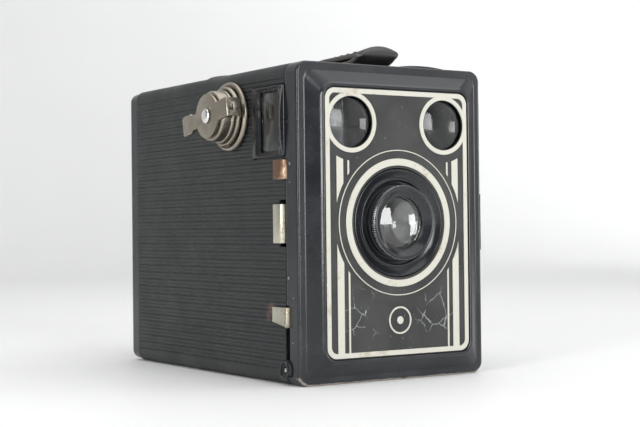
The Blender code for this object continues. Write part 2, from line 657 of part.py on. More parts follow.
def build_key():
    """Flange on the case, turning bush, and the drum, shaft and plate that pull out together."""
    inside = CAVITY_X - 0.0005
    bore_radius = KEY_HUB - 0.0007
    rim = KEY_FLANGE
    profile = [(bore_radius, inside), (KEY_HUB, inside), (KEY_HUB, KEY_FACE), (rim, KEY_FACE),
               (rim, KEY_FLANGE_TOP - 0.0006), (rim - 0.0006, KEY_FLANGE_TOP - 0.0001),
               (rim - 0.0012, KEY_FLANGE_TOP), (bore_radius, KEY_FLANGE_TOP)]
    piece("key_flange", turned_key(profile), "nickel")

    axis = at(0, *KEY_AXIS)
    turning = axis_empty("key_axis", axis)
    bush = bore_radius - KEY_PLAY
    hole = KEY_SHAFT + KEY_PLAY
    cap = KEY_CAP
    base = KEY_FLANGE_TOP + GAP
    profile = [(hole, inside), (bush, inside), (bush, base), (cap, base), (cap, KEY_CAP_TOP - 0.0005),
               (cap - 0.0005, KEY_CAP_TOP), (hole, KEY_CAP_TOP)]
    piece("key_bush", turned_key(profile), "nickel", axis, turning)

    wall = KEY_CAP_TOP + GAP
    drum = KEY_DRUM
    profile = [(hole, KEY_DRUM_TOP - 0.0013), (drum - SHEET, KEY_DRUM_TOP - 0.0013), (drum - SHEET, wall),
               (drum + 0.0004, wall), (drum + 0.0004, wall + 0.0007), (drum, wall + 0.0010),
               (drum, KEY_DRUM_TOP - 0.0006), (drum - 0.0005, KEY_DRUM_TOP), (hole, KEY_DRUM_TOP)]
    piece("key_drum", turned_key(profile), "nickel", axis, turning)

    shoulder = SPOOL_LENGTH / 2 + 0.0004
    end = KEY_DRUM_TOP - 0.0005
    shaft_bm = turned_key([(0, shoulder), (KEY_SHAFT, shoulder), (KEY_SHAFT, end), (0, end)], SMALL)
    shaft = piece("key_shaft", shaft_bm, "steel", axis, turning)
    tip = SPOOL_LENGTH / 2 - 0.0042
    blade = block((-shoulder - 0.001, -tip), (SPOOL_DEPTH - BLADE[1], SPOOL_DEPTH + BLADE[1]),
                  (SPOOL_HEIGHT - BLADE[0] + GAP, SPOOL_HEIGHT + BLADE[0] - GAP))
    join(shaft, blade)
    build_key_plate(axis, turning)


def key_plate_outline():
    """Stamped plate: a disc with a wide arm to the front and a T-shaped tail to the back."""
    disc = 0.00765
    arm = 0.0032
    neck = 0.0026
    reach = 0.0141
    tail_neck = 0.0108
    tail_end = 0.0176
    head = 0.0035
    arm_angle = math.degrees(math.asin(arm / disc))
    neck_angle = math.degrees(math.asin(neck / disc))
    upper = [(reach, arm)] + arc((0, 0), disc, arm_angle, 180 - neck_angle, 12)
    upper += [(-tail_neck, neck), (-tail_neck - 0.0008, head)]
    upper += arc((-tail_end + 0.0012, head - 0.0012), 0.0012, 90, 180, 3)
    outline = upper + [(p, -q) for p, q in reversed(upper)]
    lean = math.radians(KEY_TILT)
    return [(SPOOL_DEPTH - p * math.cos(lean) - q * math.sin(lean),
             SPOOL_HEIGHT - p * math.sin(lean) + q * math.cos(lean)) for p, q in outline]


def build_key_plate(axis, turning):
    """Key plate with its front end folded down as a leg, and the rivet that holds it."""
    low = KEY_DRUM_TOP + GAP
    high = low + 0.001
    outline = key_plate_outline()
    plate = piece("key_plate", slab(outline, "x", -high, -low), "nickel", axis, turning)
    upper, lower = Vector(outline[0]), Vector(outline[-1])
    inward = (Vector(outline[1]) - upper).normalized() * 0.0009
    corners = [upper, lower, lower + inward, upper + inward]
    join(plate, slab([tuple(c) for c in corners], "x", -low - 0.0005, -low + 0.0045))
    eye = (upper + lower) / 2 + inward / 2
    eyelet = block((-low - 0.0001, -low + 0.0016), (eye.x - 0.003, eye.x + 0.003),
                   (eye.y - 0.0011, eye.y + 0.0011))
    cut(plate, bore(KEY_AXIS, 0.0015, "x", -high - 0.001, -low + 0.001, SMALL), eyelet)
    head = high + GAP
    profile = [(0, KEY_DRUM_TOP - 0.0002), (0.0012, KEY_DRUM_TOP - 0.0002), (0.0012, head), (0.0025, head),
               (0.0023, head + 0.0004), (0.0014, head + 0.0008), (0, head + 0.0009)]
    piece("key_rivet", turned_key(profile, SMALL), "nickel", axis, turning)


# ---- Carrying strap ----------------------------------------------------------------------
def strap_line():
    """Side view of the strap's middle line: folded forward over its stud, then back over the top."""
    top = HEIGHT / 2
    front = [(0.0290, 0.0017), (0.0215, 0.0017), (0.0140, 0.0020), (0.0100, 0.0034), (0.0086, 0.0054),
             (0.0102, 0.0071), (0.0160, 0.0081), (0.0270, 0.0076), (0.0440, 0.0063)]
    half = [(d, top + h) for d, h in front]
    return half + [(DEPTH / 2, top + 0.0058)] + [(DEPTH - d, h) for d, h in reversed(half)]


def smooth(points, steps=2):
    """Points on a Catmull-Rom curve through the given ones."""
    ends = [points[0], *points, points[-1]]
    line = []
    for a, b, c, d in zip(ends, ends[1:], ends[2:], ends[3:]):
        for i in range(steps):
            t = i / steps
            line.append(tuple(
                0.5 * (2 * q + (r - p) * t + (2 * p - 5 * q + 4 * r - s) * t * t
                       + (3 * q - p - 3 * r + s) * t ** 3)
                for p, q, r, s in zip(a, b, c, d)))
    return line + [points[-1]]


def build_strap():
    """Leather strap along the top and the two studs that hold it."""
    line = smooth(strap_line())
    rings = []
    for i, (depth, height) in enumerate(line):
        before = line[max(i - 1, 0)]
        after = line[min(i + 1, len(line) - 1)]
        along = Vector((after[0] - before[0], after[1] - before[1])).normalized()
        normal = Vector((-along.y, along.x)) * STRAP_THICKNESS / 2
        half = STRAP_WIDTH / 2
        edge = 0.0004
        rings.append([at(x, depth + k * normal.x, height + k * normal.y) for x, k in
                      ((-half, 0), (-half + edge, 1), (half - edge, 1), (half, 0),
                       (half - edge, -1), (-half + edge, -1))])
    strap = piece("carry_strap", skin(rings), "leather")
    top = HEIGHT / 2
    strap_top = top + 0.0017 + STRAP_THICKNESS / 2
    low, high = top - 0.001, strap_top + 0.001
    cut(strap, *[bore((0, d), STUD_RADIUS + GAP, "z", low, high, SMALL) for d in STRAP_STUDS])
    cap = strap_top + GAP
    for name, depth in zip(("strap_stud_front", "strap_stud_rear"), STRAP_STUDS):
        profile = [(0, top - CAVITY_INSET - GAP), (STUD_RADIUS, top - CAVITY_INSET - GAP), (STUD_RADIUS, cap),
                   (0.0034, cap), (0.0031, cap + 0.0005), (0.0018, cap + 0.0009), (0, cap + 0.001)]
        piece(name, turned(profile, "z", (0, depth), SMALL), "nickel")


# ---- Door: front pressing with the faceplate, lenses and shutter --------------------------
def build_door_panel(door):
    """Front pressing: skirt, flat rim, slanted frame, lip and the floor behind the faceplate."""
    edge = SKIRT - 0.00015
    front = [
        (FLOOR_INSET, FLOOR_DEPTH, 0.0040), (FLOOR_INSET, -0.0033, 0.0040),
        (FLOOR_INSET - 0.0003, -0.0036, 0.0043), (FLOOR_INSET - 0.0009, -0.0036, 0.0046),
        (FLOOR_INSET - 0.0013, -0.0030, 0.0050), (0.0027, -0.0001, 0.0032), (0.0024, 0.0, 0.0030),
        (0.0008, 0.0, 0.0034), (0.0003, 0.00015, CORNER - 0.0003), (0.0, 0.0007, CORNER), (0.0, edge, CORNER),
    ]
    back = [
        (SKIRT_WALL, edge, CORNER - SKIRT_WALL), (SKIRT_WALL, 0.0009, CORNER - SKIRT_WALL),
        (0.0031, 0.0009, 0.0026), (FLOOR_INSET - 0.0015, FLOOR_DEPTH + SHEET, 0.0046),
    ]
    rings = [[at(x, depth, z) for x, z in box_outline(inset, radius)]
             for inset, depth, radius in front + back]
    panel = piece("door_panel", skin(rings), "black_paint", door.location, door)
    low, high = FLOOR_DEPTH - 0.003, FLOOR_DEPTH + 0.003
    holes = [bore((0, 0), DISH_RADIUS + GAP, "y", low, high, FINE)]
    holes += [bore(spot, FINDER_GLASS + GAP, "y", low, high) for spot in FINDER_SPOTS]
    cut(panel, *holes, *notch_cutters(False))


def bar_outline(low_x, high_x, upper):
    """Upright bar of the faceplate, its ends following the circles round the lens and a finder."""
    lens_circle = BAR_CLEAR
    finder_circle = FINDER_LINE + 0.0026
    steps = 3
    xs = [low_x + (high_x - low_x) * i / steps for i in range(steps + 1)]
    near = [(x, math.sqrt(lens_circle ** 2 - x * x)) for x in xs]
    if upper:
        far = [(x, FINDER_HEIGHT - math.sqrt(finder_circle ** 2 - (x - FINDER_X) ** 2)) for x in xs]
    else:
        near = [(x, -z) for x, z in near]
        far = [(x, -FACE_Z + 0.001) for x in xs]
    return near + far[::-1]


def build_faceplate(door):
    """Enamelled plate with the raised bright lines of its ornament."""
    plate_bm = slab(rounded(FACE_X, FACE_Z, 0.0037), "y", FACE_GROUND, FACE_BACK)
    plate = piece("faceplate", plate_bm, "black_enamel", door.location, door)
    sunk = FACE_GROUND + 0.0002
    edge = 0.00015
    side = 0.0018
    outer = rounded(FACE_X - edge, FACE_Z - edge, 0.0036)
    inner = rounded(FACE_X - side, FACE_Z - side, 0.0022)
    frame_rings = [[at(x, depth, z) for x, z in outline] for outline, depth in
                   ((inner, sunk), (outer, sunk), (outer, FACE_RELIEF), (inner, FACE_RELIEF))]
    relief = [skin(frame_rings, wrap=True)]
    for outer_line, inner_line in LENS_LINES:
        relief.append(ring((0, 0), outer_line, inner_line, sunk, FACE_RELIEF, FINE))
    relief += [ring(spot, FINDER_LINE, FINDER_HOLE + edge, sunk, FACE_RELIEF, MEDIUM)
               for spot in FINDER_SPOTS]
    for low_x, high_x in BARS:
        for upper in (True, False):
            outline = bar_outline(low_x, high_x, upper)
            relief.append(slab(outline, "y", FACE_RELIEF, sunk))
            relief.append(slab([(-x, z) for x, z in outline], "y", FACE_RELIEF, sunk))
    badge = (0, BADGE_HEIGHT)
    relief += [ring(badge, BADGE, BADGE - 0.0006, sunk, FACE_RELIEF),
               bore(badge, BADGE_DOT, "y", FACE_RELIEF, sunk, SMALL)]
    join(plate, *relief)
    holes = [bore((0, 0), DISH_RADIUS + GAP, "y", FACE_RELIEF - 0.001, FACE_BACK + 0.001, FINE)]
    holes += [bore(spot, FINDER_HOLE, "y", FACE_RELIEF - 0.001, FACE_BACK + 0.001, MEDIUM)
              for spot in FINDER_SPOTS]
    cut(plate, *holes)


def dome(radius, edge, rise, steps):
    """Profile of a convex face, from its rim at an edge level to its middle."""
    ball = (radius ** 2 + rise ** 2) / (2 * rise)
    return [(r, edge - math.sqrt(ball ** 2 - r * r) + ball - rise)
            for r in (radius * (1 - i / steps) for i in range(steps + 1))]


def knurled(profile, centre, teeth, depth, knurl_rows):
    """Turned ring whose outer rows carry fine teeth."""
    rings = []
    for row, (radius, level) in enumerate(profile):
        points = []
        for i in range(2 * teeth):
            angle = math.pi * i / teeth
            r = radius - (depth if row in knurl_rows and i % 2 else 0)
            points.append(at(centre[0] + r * math.cos(angle), level, centre[1] + r * math.sin(angle)))
        rings.append(points)
    return skin(rings, wrap=True)


def build_lens(door):
    """Dish, knurled lens ring, glass and barrel, and the two finder lenses."""
    outer = DISH_RADIUS
    hole = KNURL_RADIUS + 0.0005
    dish = [(outer, -0.0031), (outer - 0.0003, -0.0032), (hole + 0.0020, -0.0018), (hole + 0.0017, -0.0023),
            (hole + 0.0012, -0.0023), (hole + 0.0008, -0.0017), (hole, -0.0015), (hole, -0.0007),
            (outer, -0.0007)]
    piece("lens_dish", turned(dish, "y", (0, 0), FINE), "black_paint", door.location, door)
    seat = LENS_RADIUS + GAP
    lip = LENS_RADIUS - 0.0003
    back = -0.0016
    knurl = [(lip, -0.0041), (lip, -0.0045), (0.0113, -0.0065), (0.0118, -0.0066), (KNURL_RADIUS, -0.0061),
             (KNURL_RADIUS, back), (seat, back), (seat, -0.0041)]
    piece("lens_ring", knurled(knurl, (0, 0), KNURLS, 0.00025, (4, 5)), "black_paint", door.location, door)
    rear = -0.0028
    glass = [(0, rear + 0.0004), (LENS_RADIUS, rear), (LENS_RADIUS, -0.0037),
             *dome(lip - GAP, -0.0038, 0.0017, 5)]
    piece("lens_element", turned(glass, "y", (0, 0), MEDIUM), "glass", door.location, door)
    tube_in = LENS_RADIUS - 0.0012
    collar = KNURL_RADIUS + 0.0002
    barrel = [(tube_in, rear + GAP + 0.0002), (LENS_RADIUS, rear + GAP + 0.0002), (LENS_RADIUS, back + GAP),
              (collar, back + GAP), (collar, back + GAP + 0.0009), (LENS_RADIUS, back + GAP + 0.0009),
              (LENS_RADIUS, BOARD - GAP), (tube_in, BOARD - GAP)]
    piece("lens_barrel", turned(barrel, "y", (0, 0)), "black_paint", door.location, door)
    for name, spot in zip(("side_finder_lens", "top_finder_lens"), FINDER_SPOTS):
        rim = FACE_BACK + 0.0004
        glass = [(0, rim + 0.0011), (FINDER_GLASS, rim + 0.0011), (FINDER_GLASS, rim),
                 *dome(FINDER_HOLE - GAP, rim, 0.0016, 4)]
        piece(name, turned(glass, "y", spot), "glass", door.location, door)


# ---- Shutter on the door -----------------------------------------------------------------
def build_board(door):
    """Tray behind the door's floor that carries the shutter, its pivots and the slide's bridge."""
    wall_x = FACE_X + 0.0008
    wall_z = FACE_Z + 0.0006
    front = FLOOR_DEPTH + SHEET + GAP
    corner = 0.003
    rings = [(wall_x - SHEET, wall_z - SHEET, BOARD), (wall_x - SHEET, wall_z - SHEET, front),
             (wall_x, wall_z, front), (wall_x, wall_z, BOARD_BACK)]
    tray = skin([[at(x, depth, z) for x, z in rounded(a, b, corner)] for a, b, depth in rings])
    board = piece("shutter_board", tray, "black_paint", door.location, door)
    low, high = BOARD - 0.001, BOARD_BACK + 0.001
    holes = [bore((0, 0), SHUTTER_HOLE, "y", low, high)]
    holes += [bore(spot, FINDER_GLASS - GAP, "y", low, high) for spot in FINDER_SPOTS]
    holes += [bore(spot, PIVOT_RADIUS + GAP, "y", low, high, SMALL) for spot in (LEVER_PIVOT, DISC_PIVOT)]
    cut(board, *holes)


def pivot_pin(name, spot, end, door):
    """Headed pin through the board, with a turned-over end."""
    front = BOARD - GAP
    profile = [(0, front - 0.0008), (PIVOT_HEAD, front - 0.0008), (PIVOT_HEAD, front), (PIVOT_RADIUS, front),
               (PIVOT_RADIUS, end), (PIVOT_HEAD - 0.0002, end), (PIVOT_HEAD - 0.0006, end + 0.0006),
               (0, end + 0.0006)]
    piece(name, turned(profile, "y", spot, SMALL), "steel", door.location, door)


def build_shutter(door):
    """Sector shutter, its pivot, the release lever with its finger tab, pivot and spring."""
    towards_lens = DISC_ANGLE + 180
    cover = math.degrees(math.asin(SHUTTER_HOLE / DISC_THROW)) + 3
    open_angle = DISC_SWING / 2
    start = towards_lens - DISC_SWING - cover
    end = towards_lens + cover
    hub = PIVOT_RADIUS + 0.0025
    outline = arc(DISC_PIVOT, DISC_RADIUS, start, end, 24) + arc(DISC_PIVOT, hub, end + 20, start + 340, 10)
    axis = at(DISC_PIVOT[0], DISC_DEPTH, DISC_PIVOT[1])
    disc_bm = slab(outline, "y", DISC_DEPTH, DISC_DEPTH + 0.0005)
    disc = piece("shutter_disc", disc_bm, "spring_steel", axis, door)
    hole_angle = math.radians(towards_lens - open_angle)
    hole = (DISC_PIVOT[0] + DISC_THROW * math.cos(hole_angle),
            DISC_PIVOT[1] + DISC_THROW * math.sin(hole_angle))
    low, high = DISC_DEPTH - 0.001, DISC_DEPTH + 0.002
    cut(disc, bore(hole, SHUTTER_HOLE - GAP, "y", low, high),
        bore(DISC_PIVOT, PIVOT_RADIUS + GAP, "y", low, high, SMALL))
    pivot_pin("shutter_pivot", DISC_PIVOT, DISC_DEPTH + 0.0005 + GAP, door)
    pivot_pin("lever_pivot", LEVER_PIVOT, LEVER_DEPTH + 0.0034, door)
    build_lever(door)


def build_lever(door):
    """Release lever: hub and arm in one plane, with a tab folded back along the case."""
    axis = at(LEVER_PIVOT[0], LEVER_DEPTH, LEVER_PIVOT[1])
    hub = PIVOT_RADIUS + 0.0030
    tab_top = LEVER_PIVOT[1] + LEVER_DROP + LEVER_TAB / 2
    tab_low = tab_top - LEVER_TAB
    outer = TAB_X - STRIP
    elbow = TAB_X + 0.0083
    outline = [(outer, tab_low), (elbow, tab_low + 0.0004)]
    outline += arc(LEVER_PIVOT, hub, 250, 470, 14)
    outline += [(elbow, tab_top - 0.0006), (outer, tab_top)]
    lever = slab(outline, "y", LEVER_DEPTH, LEVER_DEPTH + STRIP)
    lever = piece("release_lever", lever, "nickel", axis, door)
    tab = [(LEVER_DEPTH + 0.0001, tab_low + 0.0001), (0.0147, tab_low + 0.0017), (0.0147, tab_top - 0.0001),
           (LEVER_DEPTH + 0.0001, tab_top - 0.0001)]
    join(lever, slab(tab, "x", outer + 0.0001, TAB_X))
    cut(lever, bore(LEVER_PIVOT, PIVOT_RADIUS + GAP, "y", LEVER_DEPTH - 0.001, LEVER_DEPTH + 0.002, SMALL))
    build_release_spring(axis, door)


def build_release_spring(axis, door):
    """Coil of the lever's torsion spring round its pivot."""
    wire = 0.0003
    turns = 2
    steps = 12
    radius = PIVOT_RADIUS + 0.0010
    start = LEVER_DEPTH + STRIP + 0.0003 + wire
    pitch = 0.0007
    rings = []
    sides = 5
    for i in range(turns * steps + 1):
        angle = 2 * math.pi * i / steps
        outward = Vector((math.cos(angle), 0, math.sin(angle)))
        middle = at(LEVER_PIVOT[0], start + pitch * i / steps, LEVER_PIVOT[1]) + radius * outward
        rings.append([middle + wire * (math.cos(a) * outward + math.sin(a) * Vector((0, 1, 0)))
                      for a in (2 * math.pi * k / sides for k in range(sides))])
    piece("release_spring", skin(rings), "spring_steel", axis, door)


def folded_strip(depth, bend, end_x, tab_back):
    """Side view of a strip that runs out of the box and folds back along it, as (x, depth)."""
    outer_x = TAB_X - STRIP
    middle = (outer_x + bend + STRIP, depth + bend + STRIP)
    outside = arc(middle, bend + STRIP, 270, 180, 6)
    inside = arc(middle, bend, 180, 270, 6)
    return [(end_x, depth), *outside, (outer_x, tab_back), (TAB_X, tab_back), *inside, (end_x, depth + STRIP)]


def build_slides(door):
    """Aperture slide with its filter, time selector, and the bridge that guides the slide."""
    end = 2 * STOP_STEP + 0.0065
    axis = at(0, SLIDE_DEPTH, 0)
    slide = slab(folded_strip(SLIDE_DEPTH, 0.0016, end, 0.016), "z", *STOP_Z)
    slide = piece("aperture_slide", slide, "nickel", axis, door)
    low, high = SLIDE_DEPTH - 0.001, SLIDE_DEPTH + 0.002
    stops = ((0, APERTURE), (STOP_STEP, SMALL_APERTURE), (2 * STOP_STEP, APERTURE))
    cut(slide, *[bore((x, 0), radius, "y", low, high) for x, radius in stops])
    gel = SLIDE_DEPTH + STRIP + GAP
    gel_bm = slab(circle((2 * STOP_STEP, 0), APERTURE + 0.0007), "y", gel, gel + 0.0003)
    piece("yellow_filter", gel_bm, "filter", axis, door)
    axis = at(0, SELECTOR_DEPTH, sum(SELECT_Z) / 2)
    selector = slab(folded_strip(SELECTOR_DEPTH, 0.0026, -0.012, 0.0163), "z", *SELECT_Z)
    piece("time_selector", selector, "brass", axis, door)

    web = gel + 0.0003 + GAP
    wall = STOP_HALF + 0.0018
    foot = 0.0012
    half = DISC_PIVOT[0] + DISC_RADIUS + foot + 0.0008
    bridge = block((-half, half), (web, web + SHEET), (-wall - SHEET, wall + SHEET))
    bridge = piece("slide_bridge", bridge, "black_paint", door.location, door)
    profile = [(-half, BOARD_BACK + GAP), (-half + foot, BOARD_BACK + GAP), (-half + foot, LEVER_DEPTH),
               (half - foot, LEVER_DEPTH), (half - foot, BOARD_BACK + GAP), (half, BOARD_BACK + GAP),
               (half, web + SHEET / 2), (-half, web + SHEET / 2)]
    join(bridge, slab(profile, "z", wall, wall + SHEET), slab(profile, "z", -wall - SHEET, -wall))
    cut(bridge, bore((0, 0), APERTURE + 0.001, "y", web - 0.001, web + 0.002))


# ---- Hinge and catch ---------------------------------------------------------------------
def build_hinge(door):
    """Hinge on the right wall: a leaf on the case, a leaf on the door, and the pin."""
    centre = (HINGE_X, SKIRT)
    leaf_x = (WIDTH / 2 + GAP, WIDTH / 2 + GAP + 0.0006)
    reach = 0.0085
    case_leaf = block(leaf_x, (SKIRT + HINGE_RADIUS + GAP, SKIRT + reach), (-HINGE_HALF, HINGE_HALF))
    case_leaf = piece("hinge_leaf_case", case_leaf, "black_paint")
    spans = ((-HINGE_HALF, -HINGE_KNUCKLE), (HINGE_KNUCKLE, HINGE_HALF))
    joined = []
    for low, high in spans:
        joined.append(bore(centre, HINGE_RADIUS, "z", low, high))
        joined.append(block((leaf_x[0] + 0.0001, leaf_x[1] - 0.0001), (SKIRT, SKIRT + 0.004), (low, high)))
    join(case_leaf, *joined)
    door_z = (-HINGE_KNUCKLE + GAP, HINGE_KNUCKLE - GAP)
    door_leaf = bore(centre, HINGE_RADIUS, "z", *door_z)
    door_leaf = piece("hinge_leaf_door", door_leaf, "black_paint", door.location, door)
    join(door_leaf, block(leaf_x, (0.0012, SKIRT), door_z))
    for leaf in (case_leaf, door_leaf):
        cut(leaf, bore(centre, PIN_RADIUS + PIN_PLAY, "z", -HINGE_HALF - 0.001, HINGE_HALF + 0.001, SMALL))
    end = HINGE_HALF + GAP
    profile = [(0, -end), (PIN_RADIUS, -end), (PIN_RADIUS, end), (HINGE_RADIUS, end),
               (HINGE_RADIUS, end + 0.0006), (0, end + 0.0006)]
    piece("hinge_pin", turned(profile, "z", centre, SMALL), "steel")


def build_catch(door):
    """Sprung eye on the door that snaps over a small stud on the case."""
    wire = CATCH_WIRE
    x = -(WIDTH / 2 + 0.0004 + wire)
    path = [at(x, CATCH[0] + 0.00235 * math.cos(a), CATCH[1] + 0.0029 * math.sin(a))
            for a in (2 * math.pi * i / 16 for i in range(16))]
    piece("door_catch", tube(path, wire, 6), "black_paint", door.location, door)
    head = WIDTH / 2 + 0.00025
    profile = [(0, head), (CATCH_STUD - 0.0003, head), (CATCH_STUD, head - 0.0002),
               (CATCH_STUD, WIDTH / 2 - CASE_INSET + GAP), (0, WIDTH / 2 - CASE_INSET + GAP)]
    profile = [(r, -level) for r, level in profile]
    piece("catch_stud", turned(profile, "x", CATCH_STUD_SPOT, SMALL), "steel")


def build_door():
    """Everything that swings open on the hinge."""
    door = axis_empty("door_axis", at(HINGE_X, SKIRT, 0))
    build_door_panel(door)
    build_faceplate(door)
    build_lens(door)
    build_board(door)
    build_shutter(door)
    build_slides(door)
    build_hinge(door)
    build_catch(door)


for old in list(bpy.data.objects):
    bpy.data.objects.remove(old, do_unlink=True)
MATERIALS = {name: finish(name) for name in FINISHES}

build_case()
build_covering()
build_back()
for finder in FINDERS:
    build_finder(finder)
build_carrier()
build_studs()
build_spool()
build_rollers()
build_key()
build_strap()
build_door()
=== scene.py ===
"""Looks of an upright metal box camera for roll film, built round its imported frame.

Each sub-assembly is a class: its fields are its sizes in metres, and its methods make its meshes
and dress them. Depths are counted back from the front rim, heights up from the lens axis.
"""
import logging
import math
from dataclasses import dataclass, field
from enum import Enum
from functools import cache
from typing import Iterable, Sequence

import bmesh
import bpy
from mathutils import Matrix, Vector


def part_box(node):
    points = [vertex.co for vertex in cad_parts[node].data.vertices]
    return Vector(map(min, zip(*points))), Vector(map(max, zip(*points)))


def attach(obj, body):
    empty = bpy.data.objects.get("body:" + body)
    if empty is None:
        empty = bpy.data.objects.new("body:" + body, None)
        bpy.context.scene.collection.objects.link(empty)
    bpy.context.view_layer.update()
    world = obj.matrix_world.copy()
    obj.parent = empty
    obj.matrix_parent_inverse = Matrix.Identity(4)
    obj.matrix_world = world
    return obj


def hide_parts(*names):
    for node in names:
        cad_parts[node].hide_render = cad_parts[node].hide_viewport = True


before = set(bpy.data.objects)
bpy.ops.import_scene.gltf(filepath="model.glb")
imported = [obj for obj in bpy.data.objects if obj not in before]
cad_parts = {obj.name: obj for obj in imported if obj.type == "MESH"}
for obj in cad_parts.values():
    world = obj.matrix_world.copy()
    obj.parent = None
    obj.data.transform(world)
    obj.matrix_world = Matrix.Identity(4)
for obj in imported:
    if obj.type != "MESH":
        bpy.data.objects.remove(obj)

Point = tuple[float, ...]
Outline = list[Point]
Socket = bpy.types.NodeSocket
Inputs = bpy.types.NodeInputs
Outputs = bpy.types.NodeOutputs
NodeTree = bpy.types.NodeTree
LOG = logging.getLogger("box_camera")
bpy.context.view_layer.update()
BODY_DEPTH = 0.1256         # from the front rim to the back covering
GAP = 0.0003                # clearance between neighbouring pieces
ROUND = 96                  # sides of a large round piece
SMALL_ROUND = 40            # sides of a pin, rivet or stud


class Side(Enum):
    """Wall that a finder window looks out of."""

    SIDE = "side"
    TOP = "top"


class Axis(Enum):
    """Axis that an outline is drawn across, or that a piece is turned about."""

    X = "x"
    Y = "y"
    Z = "z"


class Datum:
    """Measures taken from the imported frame."""

    def __init__(self) -> None:
        """Read the boxes of the covering, the back and the lens."""
        low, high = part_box("side_covering")
        lens_low, lens_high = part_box("lens_element")
        self.front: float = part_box("back_covering")[1].y - BODY_DEPTH
        self.half_x: float = (high.x - low.x) / 2
        self.half_z: float = (high.z - low.z) / 2
        self.lens: float = (lens_low.z + lens_high.z) / 2

    def at(self, x: float, depth: float, height: float) -> Vector:
        """Point at x, a depth behind the front rim and a height above the lens axis."""
        return Vector((x, self.front + depth, self.lens + height))

    def local(self, point: Vector) -> Point:
        """Depth and height of a point of the frame."""
        return point.y - self.front, point.z - self.lens


DATUM = Datum()
at = DATUM.at


# ---- Node trees --------------------------------------------------------------------------
class Tree:
    """Node tree that is written one call for each node."""

    def __init__(self, tree: NodeTree) -> None:
        """Keep the tree that the nodes go into."""
        self.tree = tree

    def feed(self, socket: Socket, value: object) -> None:
        """Link a socket, or set its plain value.

        Args:
            socket: the input.
            value: another node's output, or a plain value.
        """
        if isinstance(value, bpy.types.NodeSocket):
            self.tree.links.new(value, socket)
        else:
            socket.default_value = value

    def add(self, kind: str, inputs: dict | None = None, **settings: object) -> bpy.types.Node:
        """Add a node.

        Args:
            kind: the node's type.
            inputs: sockets or plain values by input name or number.
            settings: properties of the node.

        Returns:
            The new node.
        """
        node = self.tree.nodes.new(kind)
        for name, value in settings.items():
            setattr(node, name, value)
        for key, value in (inputs or {}).items():
            self.feed(node.inputs[key], value)
        return node

    def coords(self) -> Socket:
        """Place on the piece, in its object coordinates."""
        return self.add("ShaderNodeTexCoord").outputs["Object"]

    def edge(self) -> Socket:
        """How far a place is an edge that wears, 0 to 1."""
        return self.add("ShaderNodeAttribute", attribute_name="edge").outputs["Fac"]

    def distance(self, place: Socket, x: float, depth: float, height: float) -> Socket:
        """Distance of a place from a point of the camera."""
        spot = tuple(at(x, depth, height))
        return self.add("ShaderNodeVectorMath", {0: place, 1: spot}, operation="DISTANCE").outputs["Value"]

    def math(self, operation: str, *values: object, clamp: bool = False) -> Socket:
        """Result of a Math node."""
        node = self.add("ShaderNodeMath", dict(enumerate(values)), operation=operation, use_clamp=clamp)
        return node.outputs[0]

    def vector(self, operation: str, *values: object) -> Socket:
        """Vector result of a Vector Math node."""
        return self.add("ShaderNodeVectorMath", dict(enumerate(values)), operation=operation).outputs[0]

    def mix(self, factor: object, low: object, high: object) -> Socket:
        """Mix two colours.

        Args:
            factor: share of the high colour.
            low: colour at 0.
            high: colour at 1.

        Returns:
            The colour between them.
        """
        node = self.add("ShaderNodeMix", data_type="RGBA")
        self.feed(node.inputs[0], factor)
        for socket, value in ((node.inputs[6], low), (node.inputs[7], high)):
            self.feed(socket, (*value, 1) if isinstance(value, tuple) else value)
        return node.outputs[2]

    def ramp(self, value: object, start: float, end: float, low: float = 0, high: float = 1) -> Socket:
        """Take a value over a smooth step.

        Args:
            value: the value to read.
            start: where the step begins.
            end: where the step ends.
            low: result up to the start.
            high: result from the end on.

        Returns:
            The stepped value.
        """
        node = self.add("ShaderNodeMapRange", {0: value, 1: start, 2: end, 3: low, 4: high},
                        interpolation_type="SMOOTHSTEP")
        return node.outputs[0]

    def noise(self, place: Socket, scale: object, detail: float = 3, roughness: float = 0.6) -> Socket:
        """Value of a noise texture."""
        inputs = {"Vector": place, "Scale": scale, "Detail": detail, "Roughness": roughness}
        return self.add("ShaderNodeTexNoise", inputs).outputs[0]

    def drift(self, place: Socket, scale: float, detail: float, reach: float) -> Socket:
        """Shift a place by a noise.

        Args:
            place: the place.
            scale: the noise's scale.
            detail: the noise's detail.
            reach: how far the noise shifts it.

        Returns:
            The shifted place.
        """
        inputs = {"Vector": place, "Scale": scale, "Detail": detail}
        noise = self.add("ShaderNodeTexNoise", inputs).outputs["Color"]
        return self.vector("ADD", place, self.vector("MULTIPLY", noise, (reach, reach, reach)))


